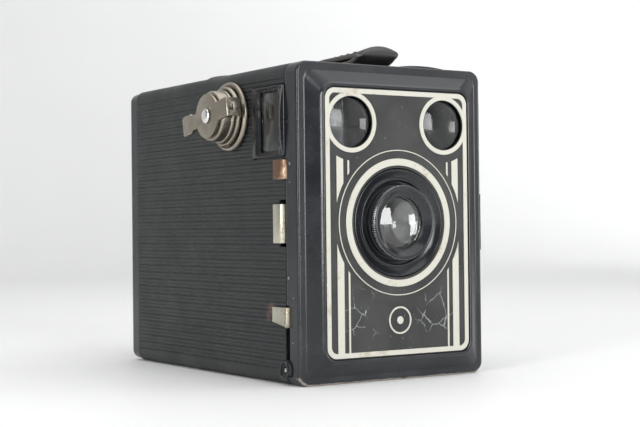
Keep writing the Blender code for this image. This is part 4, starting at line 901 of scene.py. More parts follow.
class Nodes:
    """Geometry-node trees for what repeats."""

    @staticmethod
    def run(obj: bpy.types.Object, tree: NodeTree, values: dict[str, object]) -> Solid:
        """Evaluate a tree on an object and return the plain mesh.

        Args:
            obj: object that carries the tree for a moment and is then removed.
            tree: geometry-node tree.
            values: the tree's inputs by name.

        Returns:
            The evaluated mesh.
        """
        modifier = obj.modifiers.new("Repeat", "NODES")
        modifier.node_group = tree
        for item in tree.interface.items_tree:
            if item.name in values and item.in_out == "INPUT":
                modifier[item.identifier] = values[item.name]
        depsgraph = bpy.context.evaluated_depsgraph_get()
        mesh = bpy.data.meshes.new_from_object(obj.evaluated_get(depsgraph))
        bm = bmesh.new()
        bm.from_mesh(mesh)
        data = obj.data
        bpy.data.objects.remove(obj)
        bpy.data.meshes.remove(data)
        bpy.data.meshes.remove(mesh)
        return Solid(bm)

    @staticmethod
    def start(name: str, inputs: dict[str, str]) -> tuple[Tree, Outputs, Inputs]:
        """Start a geometry tree.

        Args:
            name: the tree's name.
            inputs: the type of each named input.

        Returns:
            The tree, the sockets that bring its inputs and the sockets that take its result.
        """
        tree = bpy.data.node_groups.new(name, "GeometryNodeTree")
        tree.interface.new_socket("Geometry", in_out="INPUT", socket_type="NodeSocketGeometry")
        tree.interface.new_socket("Geometry", in_out="OUTPUT", socket_type="NodeSocketGeometry")
        for label, kind in inputs.items():
            tree.interface.new_socket(label, in_out="INPUT", socket_type=kind)
        pen = Tree(tree)
        return pen, pen.add("NodeGroupInput").outputs, pen.add("NodeGroupOutput").inputs

    @staticmethod
    def end(pen: Tree, geometry: Socket, material: Socket, leave: Inputs) -> None:
        """Realize the copies, set their material and end the tree.

        Args:
            pen: the tree.
            geometry: what it has made.
            material: the material.
            leave: the sockets that take its result.
        """
        real = pen.add("GeometryNodeRealizeInstances", {0: geometry})
        done = pen.add("GeometryNodeSetMaterial", {"Geometry": real.outputs[0], "Material": material})
        pen.feed(leave[0], done.outputs[0])

    @staticmethod
    @cache
    def ribs() -> NodeTree:
        """Make the tree that presses grooves and fine lines into a wall.

        Returns:
            The tree; it reads the wall's "along" and "outward" values.
        """
        sizes = dict.fromkeys(("Pitch", "Groove", "Depth", "Line", "Line Depth"), "NodeSocketFloat")
        pen, given, leave = Nodes.start("Ribs", {**sizes, "Material": "NodeSocketMaterial"})
        kind = "GeometryNodeInputNamedAttribute"
        along = pen.add(kind, {"Name": "along"}, data_type="FLOAT").outputs[0]
        outward = pen.add(kind, {"Name": "outward"}, data_type="FLOAT_VECTOR").outputs[0]
        phase = pen.math("FRACT", pen.math("DIVIDE", along, given["Pitch"]))
        off = pen.math("ABSOLUTE", pen.math("SUBTRACT", phase, 0.5))
        to_groove = pen.math("MULTIPLY", off, given["Pitch"])
        to_line = pen.math("SUBTRACT", pen.math("MULTIPLY", given["Pitch"], 0.5), to_groove)
        drop = 0.0
        for distance, width, depth in ((to_groove, "Groove", "Depth"), (to_line, "Line", "Line Depth")):
            node = pen.add("ShaderNodeMapRange", {0: distance, 1: 0.0, 3: given[depth], 4: 0.0},
                           interpolation_type="SMOOTHSTEP")
            pen.feed(node.inputs[2], pen.math("MULTIPLY", given[width], 0.5))
            drop = pen.math("ADD", drop, node.outputs[0])
        inward = {0: outward, "Scale": pen.math("MULTIPLY", drop, -1.0)}
        step = pen.add("ShaderNodeVectorMath", inward, operation="SCALE").outputs[0]
        moved = pen.add("GeometryNodeSetPosition", {"Geometry": given["Geometry"], "Offset": step})
        Nodes.end(pen, moved.outputs[0], given["Material"], leave)
        return pen.tree

    @staticmethod
    @cache
    def scatter() -> NodeTree:
        """Make the tree that sets a copy of a part on each point.

        Returns:
            The tree; it reads the points' "turn" values.
        """
        pen, given, leave = Nodes.start("Scatter", {"Part": "NodeSocketObject", "Size": "NodeSocketFloat",
                                                    "Material": "NodeSocketMaterial"})
        part = pen.add("GeometryNodeObjectInfo", {"Object": given["Part"]}).outputs["Geometry"]
        turn = pen.add("GeometryNodeInputNamedAttribute", {"Name": "turn"}, data_type="FLOAT_VECTOR")
        copies = pen.add("GeometryNodeInstanceOnPoints", {
            "Points": given["Geometry"], "Instance": part, "Rotation": turn.outputs[0], "Scale": given["Size"]})
        Nodes.end(pen, copies.outputs[0], given["Material"], leave)
        return pen.tree

    @classmethod
    def copies(cls, part: Solid, spots: Sequence[tuple[Vector, Point]], finish: Finish) -> Solid:
        """Set copies of a small part.

        Args:
            part: the part, at the origin.
            spots: place and three angles of each copy.
            finish: what the copies are dressed in.

        Returns:
            The copies in one mesh.
        """
        bm = bmesh.new()
        layer = bm.verts.layers.float_vector.new("turn")
        for point, turn in spots:
            bm.verts.new(point)[layer] = turn
        master = part.object("master")
        carrier = Solid(bm).object("points")
        values = {"Part": master, "Size": 1.0, "Material": finish.material()}
        result = cls.run(carrier, cls.scatter(), values)
        data = master.data
        bpy.data.objects.remove(master)
        bpy.data.meshes.remove(data)
        return result


# ---- Sub-assemblies ----------------------------------------------------------------------
@dataclass
class SubAssembly:
    """Pieces that are built and dressed together."""

    pieces: list[tuple[bpy.types.Object, Finish]] = field(default_factory=list, init=False)

    def add(self, name: str, solid: Solid, finish: Finish, body: str, *nodes: str) -> bpy.types.Object:
        """Make a piece of a solid.

        Args:
            name: the piece's name.
            solid: its closed mesh.
            finish: what it is dressed in.
            body: the body that it rides on.
            nodes: CAD nodes that it stands for.

        Returns:
            The piece.
        """
        obj = solid.object(name)
        self.pieces.append((obj, finish))
        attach(obj, body)
        if nodes:
            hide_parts(*nodes)
        return obj

    def soft(self, body: str, width: float, *nodes: str) -> None:
        """Stand a copy with rounded edges in for each of some CAD nodes."""
        for node in nodes:
            self.add(f"{node}_finished", Solid.from_node(node).soften(width), Finishes.KEPT[node], body, node)

    def dress(self) -> None:
        """Put each piece's finish on it."""
        for obj, finish in self.pieces:
            obj.data.materials.clear()
            obj.data.materials.append(finish.material())
            LOG.info("%s: %s, %d faces", obj.name, finish.name, len(obj.data.polygons))


class Openings:
    """Cutters for the openings that the case, its covering and the door share."""

    notch_spans = (
        # lower and upper edge, where the strip runs, back edge
        (-0.04419, -0.02657, 0.0056, 0.0082),
        (0.0141, 0.0212, 0.0063, 0.0089),
        (-0.00755, 0.00775, 0.0081, 0.0112),
    )
    stud_hole = 0.0018
    wall = 0.0023
    key_hole = 0.0082

    @classmethod
    def notches(cls, from_front: bool) -> list[Solid]:
        """Make the notches in the left wall where the three finger tabs leave the box.

        Args:
            from_front: cut forward through the front edge, not only where the strips run.

        Returns:
            The three cutters.
        """
        half = DATUM.half_x
        across = (-half - 0.002, -half + cls.wall + 0.002)
        return [Solid.block(across, (-0.001 if from_front else strip, back), (low, high))
                for low, high, strip, back in cls.notch_spans]

    @classmethod
    def key(cls) -> Solid:
        """Round hole in the left wall for the winding key."""
        outer, inner = -DATUM.half_x - 0.002, -DATUM.half_x + cls.wall + 0.002
        return Solid.bore(key_axis(), cls.key_hole, Axis.X, outer, inner)

    @classmethod
    def studs(cls) -> list[Solid]:
        """Make the holes in the top for the strap's studs.

        Returns:
            The two cutters.
        """
        low, high = DATUM.half_z - 0.004, DATUM.half_z + 0.001
        return [Solid.bore((0, middle(name)[1]), cls.stud_hole, Axis.Z, low, high, SMALL_ROUND)
                for name in ("strap_stud_front", "strap_stud_rear")]


def box_skin(rows: Sequence[Point]) -> Solid:
    """Skin rings that follow the outline of the camera's box.

    Args:
        rows: inset, depth, corner and wear of each ring.

    Returns:
        The closed solid.
    """
    rings = [[at(x, depth, z) for x, z in box_outline(inset, corner)] for inset, depth, corner, _ in rows]
    return Solid.skin(rings, worn=[row[-1] for row in rows])


def middle(name: str) -> Point:
    """Find the middle of a node.

    Args:
        name: the node's name.

    Returns:
        Its x, depth and height.
    """
    low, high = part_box(name)
    centre = (low + high) / 2
    return (centre.x, *DATUM.local(centre))


def key_axis() -> Point:
    """Depth and height of the winding key's axis."""
    return middle("key_rivet")[1:]


@dataclass
class CaseShell(SubAssembly):
    """Pressed case with its ribbed covering, covered back and red window."""

    corner: float = 0.004
    covering: float = 0.0006
    rib_pitch: float = 0.0027
    rib_groove: float = 0.00090
    rib_depth: float = 0.00030
    line_width: float = 0.00062
    line_depth: float = 0.00018
    sample: float = 0.00012
    seam: float = 0.0076
    rim_start: float = 0.1176
    back: float = 0.1248
    red_radius: float = 0.0050
    catch_hole: float = 0.0011
    back_corner: float = 0.003

    def build(self) -> None:
        """Make the case, the coverings and the red window."""
        self.case()
        self.side_covering()
        self.back_covering()
        self.red_ring()
        self.soft("case", 0.00015, "pressure_plate", "hinge_leaf_case")

    def case(self) -> None:
        """Steel box: collar inside the door's skirt, wall under the covering, painted rear rim."""
        inner, collar, wall, rim = Openings.wall, 0.0015, 0.0009, 0.0005
        front, rim_start, back = 0.0009, self.rim_start, self.back
        rows = [
            # inset, depth, corner and wear
            (inner, back - 0.0012, 0.0015, 0), (inner, front, 0.0015, 0), (collar, front, 0.0024, 0.6),
            (collar, self.seam, 0.0024, 0), (wall, self.seam, 0.0030, 0), (wall, rim_start, 0.0030, 0),
            (wall, rim_start + GAP, 0.0030, 0), (rim + 0.0002, rim_start + GAP, 0.0033, 0.5),
            (rim, rim_start + 0.0005, 0.0035, 0.7), (rim, rim_start + 0.0009, 0.0035, 0),
            (rim, back - 0.0022, 0.0035, 0), (rim, back - 0.0016, 0.0035, 0.8),
            (rim + 0.00008, back - 0.0011, 0.0034, 1.0), (rim + 0.0003, back - 0.0007, 0.0032, 1.0),
            (rim + 0.0008, back - 0.0002, 0.0027, 0.9), (rim + 0.0016, back, 0.0022, 0.3),
        ]
        shell = box_skin(rows)
        red_x, _, red_z = middle("red_window_ring")
        cutters = [Openings.key(), *Openings.notches(True), *Openings.studs(),
                   Solid.bore((red_x, red_z), self.red_radius + 0.001, Axis.Y, back - 0.0022,
                              BODY_DEPTH + 0.001)]
        cutters += [Finder(side).window_cutter() for side in Side]
        self.add("case_shell", shell.cut(*cutters), Finishes.GLOSS, "case", "outer_case")

    def side_covering(self) -> None:
        """Ribbed covering; the side it stands on is plain."""
        run_x, run_z = DATUM.half_x - self.corner, DATUM.half_z - self.corner
        points = []
        for turn, (run, wall) in enumerate(((run_z, DATUM.half_x), (run_x, DATUM.half_z)) * 2):
            angle = math.radians(90 * turn)
            limit = run - self.rib_groove / 2
            count = int(2 * run / self.sample)
            side = []
            for i in range(count + 1):
                s = -run + 2 * run * i / count
                ribbed = abs(s) < limit and turn != 3
                side.append((wall, s, s if ribbed else 0.0, (1.0, 0.0), ribbed))
            for i in range(1, 30):
                a = math.radians(3 * i)
                side.append((wall - self.corner + self.corner * math.cos(a), run + self.corner * math.sin(a),
                             0.0, (math.cos(a), math.sin(a)), False))
            for x, z, along, out, ribbed in side:
                cos, sin = math.cos(angle), math.sin(angle)
                turned_point = (x * cos - z * sin, x * sin + z * cos)
                turned_out = (out[0] * cos - out[1] * sin, out[0] * sin + out[1] * cos)
                points.append((turned_point, along, turned_out, ribbed))
        bm = bmesh.new()
        along_layer = bm.verts.layers.float.new("along")
        out_layer = bm.verts.layers.float_vector.new("outward")
        loops = []
        for inner, depth in ((1, self.rim_start), (1, self.seam), (0, self.seam), (0, self.rim_start)):
            loop = []
            for (x, z), along, (out_x, out_z), ribbed in points:
                shift = self.covering * inner
                vert = bm.verts.new(at(x - out_x * shift, depth, z - out_z * shift))
                vert[along_layer] = along if not inner else 0.0
                vert[out_layer] = Vector((out_x, 0, out_z)) if ribbed and not inner else Vector((0, 0, 0))
                loop.append(vert)
            loops.append(loop)
        for first, second in zip(loops, loops[1:] + loops[:1]):
            for i in range(len(first)):
                j = (i + 1) % len(first)
                bm.faces.new((first[i], first[j], second[j], second[i]))
        bmesh.ops.recalc_face_normals(bm, faces=bm.faces)
        sizes = {"Pitch": self.rib_pitch, "Groove": self.rib_groove, "Depth": self.rib_depth,
                 "Line": self.line_width, "Line Depth": self.line_depth,
                 "Material": Finishes.COVERING.material()}
        ribbed_wall = Nodes.run(Solid(bm).object("wall"), Nodes.ribs(), sizes)
        stud = middle("catch_stud")[1:]
        outer, inner = -DATUM.half_x - 0.001, -DATUM.half_x + 0.001
        cutters = [Openings.key(), *Openings.notches(True), *Openings.studs(),
                   Solid.bore(stud, self.catch_hole, Axis.X, outer, inner, SMALL_ROUND)]
        cutters += [Finder(side).frame_cutter() for side in Side]
        covering = ribbed_wall.cut(*cutters)
        wrap = self.add("ribbed_covering", covering, Finishes.COVERING, "case", "side_covering")
        wrap.data.shade_flat()

    def back_covering(self) -> None:
        """Covering of the back with its pressed grooves and soft edge."""
        low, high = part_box("back_covering")
        half_x, half_z = (high.x - low.x) / 2, (high.z - low.z) / 2
        front, rear = DATUM.local(low)[0], DATUM.local(high)[0]
        corner = self.back_corner
        rows = ((0, front), (0, rear - 0.0002), (0.00008, rear - 0.00007), (0.00025, rear))
        rings = [[at(x, depth, z) for x, z in rounded(half_x - inset, half_z - inset, corner - inset)]
                 for inset, depth in rows]
        panel = Solid.skin(rings)
        count = int((half_z - corner) / self.rib_pitch)
        line = [(rear - 0.00022, 0.0), (rear + 0.0001, 0.00035), (rear + 0.0001, -0.00035)]
        grooves = []
        for i in range(-count, count + 1):
            outline = [(d, z + i * self.rib_pitch) for d, z in line]
            grooves.append(Solid.slab(outline, Axis.X, -half_x + corner, half_x - corner))
        red_x, _, red_z = middle("red_window_ring")
        hole = Solid.bore((red_x, red_z), self.red_radius + 0.0026, Axis.Y, front - 0.001, rear + 0.001)
        self.add("covered_back", panel.cut(*grooves, hole), Finishes.COVERING, "case", "back_covering")

    def red_ring(self) -> None:
        """Stepped ring round the red window."""
        x, _, z = middle("red_window_ring")
        inner = self.red_radius
        outer = inner + 0.0022
        rear = BODY_DEPTH
        profile = [
            (inner, rear - 0.0020), (inner + 0.0007, rear - 0.0020), (inner + 0.0007, rear - 0.0005),
            (outer, rear - 0.0005),
            (outer, rear), (outer - 0.0001, rear + 0.0002), (outer - 0.0004, rear + 0.00042),
            (outer - 0.0008, rear + 0.0005), (outer - 0.0011, rear + 0.00045), (outer - 0.0014, rear + 0.0002),
            (inner + 0.0003, rear), (inner, rear - 0.0002),
        ]
        worn = [0, 0, 0, 0, 0, 0.3, 0.7, 0.8, 0.5, 0, 0, 0]
        ring = Solid.turned(profile, Axis.Y, (x, z), worn=worn)
        self.add("stepped_red_ring", ring, Finishes.GLOSS, "case", "red_window_ring")


@dataclass
class Finder(SubAssembly):
    """Window frame with its hood, and the housing behind it."""

    side: Side = Side.SIDE
    proud: float = 0.0004
    bead: float = 0.00035
    hood_rise: float = 0.0013
    window: Point = (0.0112, 0.0233)
    half: float = 0.0098
    wall: float = field(init=False)
    depth: Point = field(init=False)
    across: Point = field(init=False)
    centre: float = field(init=False)

    def __post_init__(self) -> None:
        """Take the frame's sizes from its node."""
        low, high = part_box(f"{self.side.value}_finder_frame")
        self.depth = (DATUM.local(low)[0], DATUM.local(high)[0])
        if self.side is Side.SIDE:
            self.wall = DATUM.half_x
            self.across = (DATUM.local(low)[1], DATUM.local(high)[1])
        else:
            self.wall = DATUM.half_z
            self.across = (low.x, high.x)
        self.centre = sum(self.across) / 2

    def point(self, across: float, depth: float, out: float) -> Vector:
        """Point across the window, behind the rim and outwards from the camera's middle."""
        return at(-out, depth, across) if self.side is Side.SIDE else at(across, depth, out)

    def block(self, across: Point, depth: Point, out: Point) -> Solid:
        """Box in the finder's own directions."""
        corners = [(across[0], depth[0]), (across[1], depth[0]), (across[1], depth[1]), (across[0], depth[1])]
        return Solid.skin([[self.point(a, d, level) for a, d in corners] for level in out])

    def window_cutter(self) -> Solid:
        """Window opening through the wall."""
        across = (self.centre - self.half, self.centre + self.half)
        return self.block(across, self.window, (self.wall - 0.004, self.wall + 0.004))

    def frame_cutter(self) -> Solid:
        """Make room for the frame in the covering.

        Returns:
            The cutter.
        """
        across = (self.across[0] - GAP, self.across[1] + GAP)
        depth = (self.depth[0] - 0.002, self.depth[1] + GAP)
        return self.block(across, depth, (self.wall - 0.002, self.wall + 0.002))

    def build(self) -> None:
        """Make the frame with its bead, recess and hood, and round the edges of the rest."""
        out = self.wall + self.proud
        seat = self.wall - 0.0006
        front, back = self.depth
        low, high = self.across
        centre = (self.centre, (front + back) / 2)
        half_across, half_depth = (high - low) / 2, (back - front) / 2
        opening = (self.centre, sum(self.window) / 2)
        open_across, open_depth = self.half, (self.window[1] - self.window[0]) / 2
        rows = [
            # middle, half across, half depth, corner, level and wear
            (centre, half_across, half_depth, 0.0006, seat, 0),
            (centre, half_across, half_depth, 0.0006, out - 0.0002, 0.6),
            (centre, half_across - 0.00006, half_depth - 0.00006, 0.0006, out - 0.00006, 1.0),
            (centre, half_across - 0.0002, half_depth - 0.0002, 0.0006, out, 0.7),
            (opening, open_across + 0.00165, open_depth + 0.0022, 0.0008, out, 0.0),
            (opening, open_across + 0.00150, open_depth + 0.0020, 0.0008, out + self.bead, 0.6),
            (opening, open_across + 0.00125, open_depth + 0.0017, 0.0007, out + self.bead, 0.6),
            (opening, open_across + 0.00105, open_depth + 0.0014, 0.0006, out - 0.0003, 0.0),
            (opening, open_across + 0.00015, open_depth + 0.0003, 0.0004, seat + 0.0004, 0.0),
            (opening, open_across, open_depth, 0.0003, seat + 0.0003, 0.3),
            (opening, open_across, open_depth, 0.0003, seat, 0),
        ]
        rings = [[self.point(a, d, level) for a, d in rounded(width, depth, corner, middle_point, 5)]
                 for middle_point, width, depth, corner, level, _ in rows]
        body = Solid.skin(rings, wrap=True, worn=[row[-1] for row in rows])
        hood = self.hood(front + 0.0002, seat + 0.0002, half_across - 0.0003)
        clear = self.block((self.centre - self.half - 0.0002, self.centre + self.half + 0.0002),
                           (self.window[0] - 0.0002, self.window[1]), (seat - 0.001, self.wall + 0.006))
        name = self.side.value
        shape = body.join(hood).cut(clear)
        self.add(f"{name}_window_frame", shape, Finishes.GLOSS, "case", f"{name}_finder_frame")
        pane = self.block((self.centre - self.half + 0.0001, self.centre + self.half - 0.0001),
                          (self.window[0] + 0.0001, self.window[1] - 0.0001), (seat - 0.0009, seat - 0.0001))
        pane = pane.soften(0.0001)
        self.add(f"{name}_window_pane", pane, Finishes.SMOKY, "case", f"{name}_finder_window")
        self.soft("case", 0.0001, f"{name}_finder_housing", f"{name}_finder_mirror")

    def hood(self, front: float, seat: float, half_across: float) -> Solid:
        """Make the bowed hood along the frame's front edge.

        Args:
            front: depth of its front edge.
            seat: level that it stands on.
            half_across: half of its length.

        Returns:
            The hood.
        """
        rings = []
        steps = 40
        for i in range(steps + 1):
            share = i / steps
            across = self.centre + (2 * share - 1) * half_across
            rise = self.wall + self.proud + self.hood_rise * math.sin(math.pi * share) ** 0.8
            low = self.wall + self.proud - 0.0001
            rings.append([self.point(across, d, o) for d, o in (
                (front, seat), (front, rise - 0.0001), (front + 0.0001, rise), (front + 0.0009, rise),
                (front + 0.0012, rise - 0.00015), (front + 0.0020, (rise + low) / 2 - 0.0001),
                (front + 0.0031, low), (front + 0.0031, seat))])
        return Solid.skin(rings, worn=[0.4] * len(rings))


@dataclass
class FrontDoor(SubAssembly):
    """Front pressing, and the enamelled plate with its bright lines."""

    skirt: float = 0.00725
    inset: float = 0.0082
    floor: float = -0.0024
    dish: float = 0.0179
    finder_glass: float = 0.0089
    finder_hole: float = 0.00835
    finder_line: float = 0.0100
    border: float = 0.0018
    lens_lines: tuple[Point, ...] = ((0.0213, 0.0190), (0.0242, 0.02385))
    bars: tuple[Point, ...] = ((0.0223, 0.0249), (0.01995, 0.0206))
    bar_clear: float = 0.0258
    badge: Point = (0.0, -0.0324)
    badge_radius: float = 0.0046
    badge_dot: float = 0.0013
    ground: float = -0.0031
    relief: float = -0.00335
    line_edge: float = 0.00007
    spots: list[Point] = field(init=False)
    face_x: float = field(init=False)
    face_z: float = field(init=False)

    def __post_init__(self) -> None:
        """Take the plate's size and the finder lenses' places from their nodes."""
        low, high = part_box("faceplate")
        self.face_x, self.face_z = (high.x - low.x) / 2, (high.z - low.z) / 2
        self.spots = [middle(name)[::2] for name in ("side_finder_lens", "top_finder_lens")]

    def build(self) -> None:
        """Make the pressing, the plate and the lines, and round the edges of the fittings."""
        self.panel()
        self.plate()
        self.lines()
        self.soft("door", 0.0001, "hinge_leaf_door", "shutter_board")

    def panel(self) -> None:
        """Skirt, flat rim, slanted frame, rounded lip and floor."""
        inset, skirt = self.inset, self.skirt
        rows = [
            # inset, depth, corner and wear
            (inset, self.floor, 0.0040, 0), (inset, -0.0033, 0.0040, 0), (inset - 0.0001, -0.0035, 0.0041, 0.2),
            (inset - 0.0003, -0.0036, 0.0043, 0.3), (inset - 0.0006, -0.00362, 0.0045, 0.3),
            (inset - 0.0009, -0.0036, 0.0046, 0.2), (inset - 0.0011, -0.0034, 0.0048, 0.1),
            (inset - 0.00135, -0.0030, 0.0050, 0), (inset - 0.0016, -0.00285, 0.0050, 0),
            (0.0030, -0.00018, 0.0033, 0.1), (0.0027, -0.00003, 0.0032, 0.25), (0.0024, 0.0, 0.0030, 0.2),
            (0.0021, 0.0, 0.0030, 0), (0.0010, 0.0, 0.0033, 0.2), (0.0007, 0.00001, 0.0035, 0.8),
            (0.0004, 0.0001, 0.0037, 1.0), (0.00018, 0.0003, 0.0039, 1.0), (0.00004, 0.00055, 0.0040, 1.0),
            (0.0, 0.0009, 0.0040, 0.5), (0.0, 0.0014, 0.0040, 0), (0.0, skirt - 0.0008, 0.0040, 0),
            (0.0, skirt - 0.00015, 0.0040, 0.9), (0.00006, skirt, 0.0040, 1.0),
            (0.0010, skirt, 0.0030, 0.2), (0.0010, 0.0009, 0.0030, 0), (0.0031, 0.0009, 0.0026, 0),
            (0.0067, -0.0016, 0.0046, 0),
        ]
        low, high = self.floor - 0.003, self.floor + 0.003
        holes = [Solid.bore((0, 0), self.dish + GAP, Axis.Y, low, high)]
        holes += [Solid.bore(spot, self.finder_glass + GAP, Axis.Y, low, high) for spot in self.spots]
        panel = box_skin(rows).cut(*holes, *Openings.notches(False))
        self.add("front_pressing", panel, Finishes.DOOR, "door", "door_panel")

    def plate(self) -> None:
        """Enamelled ground of the faceplate."""
        back = self.floor - GAP
        rings = [[at(x, depth, z) for x, z in rounded(self.face_x - inset, self.face_z - inset, 0.0037)]
                 for inset, depth in ((0, back), (0, self.ground + 0.0001), (0.0001, self.ground))]
        low, high = self.relief - 0.001, self.floor + 0.001
        holes = [Solid.bore((0, 0), self.dish + GAP, Axis.Y, low, high)]
        holes += [Solid.bore(spot, self.finder_hole, Axis.Y, low, high) for spot in self.spots]
        self.add("enamelled_plate", Solid.skin(rings).cut(*holes), Finishes.ENAMEL, "door", "faceplate")

    def line_ring(self, centre: Point, outer: float, inner: float) -> Solid:
        """Make a bright ring with softened edges.

        Args:
            centre: its middle.
            outer: its outer radius.
            inner: its inner radius.

        Returns:
            The ring.
        """
        soft = min(self.line_edge, (outer - inner) / 4)
        foot = self.ground - 0.00001
        profile = [(inner, foot), (outer, foot), (outer, self.relief + soft), (outer - soft, self.relief),
                   (inner + soft, self.relief), (inner, self.relief + soft)]
        return Solid.turned(profile, Axis.Y, centre)

    def bar(self, low_x: float, high_x: float, upper: bool) -> Outline:
        """Draw an upright bar whose ends follow the circles round the lens and the finder lens.

        Args:
            low_x: its edge nearer the middle.
            high_x: its outer edge.
            upper: above the lens, or else below it.

        Returns:
            Its outline.
        """
        finder_x, finder_z = abs(self.spots[0][0]), self.spots[0][1]
        clear = self.finder_line + 0.0026
        xs = [low_x + (high_x - low_x) * i / 8 for i in range(9)]
        near = [(x, math.sqrt(self.bar_clear ** 2 - x * x)) for x in xs]
        if upper:
            far = [(x, finder_z - math.sqrt(clear ** 2 - (x - finder_x) ** 2)) for x in xs]
        else:
            near = [(x, -z) for x, z in near]
            far = [(x, -self.face_z + 0.001) for x in xs]
        return near + far[::-1]

    def lines(self) -> None:
        """Border, rings, bars and the plain badge, joined into one raised ornament."""
        edge = 0.00015
        foot = self.ground - 0.00001
        soft = self.line_edge
        rows = [(self.border, 0.0022, foot), (edge, 0.0036, foot), (edge, 0.0036, self.relief + soft),
                (edge + soft, 0.0036, self.relief), (self.border - soft, 0.0022, self.relief),
                (self.border, 0.0022, self.relief + soft)]
        rings = [[at(x, depth, z) for x, z in rounded(self.face_x - inset, self.face_z - inset, corner)]
                 for inset, corner, depth in rows]
        border = Solid.skin(rings, wrap=True)
        parts = []
        for low_x, high_x in self.bars:
            for upper in (True, False):
                outline = self.bar(low_x, high_x, upper)
                parts.append(Solid.slab(outline, Axis.Y, self.relief, foot))
                parts.append(Solid.slab([(-x, z) for x, z in outline], Axis.Y, self.relief, foot))
        parts += [self.line_ring(spot, self.finder_line, self.finder_hole + edge) for spot in self.spots]
        parts += [self.line_ring((0, 0), outer, inner) for outer, inner in self.lens_lines]
        parts.append(self.line_ring(self.badge, self.badge_radius, self.badge_radius - 0.0006))
        dot = [(0, foot), (self.badge_dot, foot), (self.badge_dot, self.relief + soft),
               (self.badge_dot - soft, self.relief), (0, self.relief)]
        parts.append(Solid.turned(dot, Axis.Y, self.badge, SMALL_ROUND))
        self.add("bright_lines", border.join(*parts), Finishes.LINE, "door")


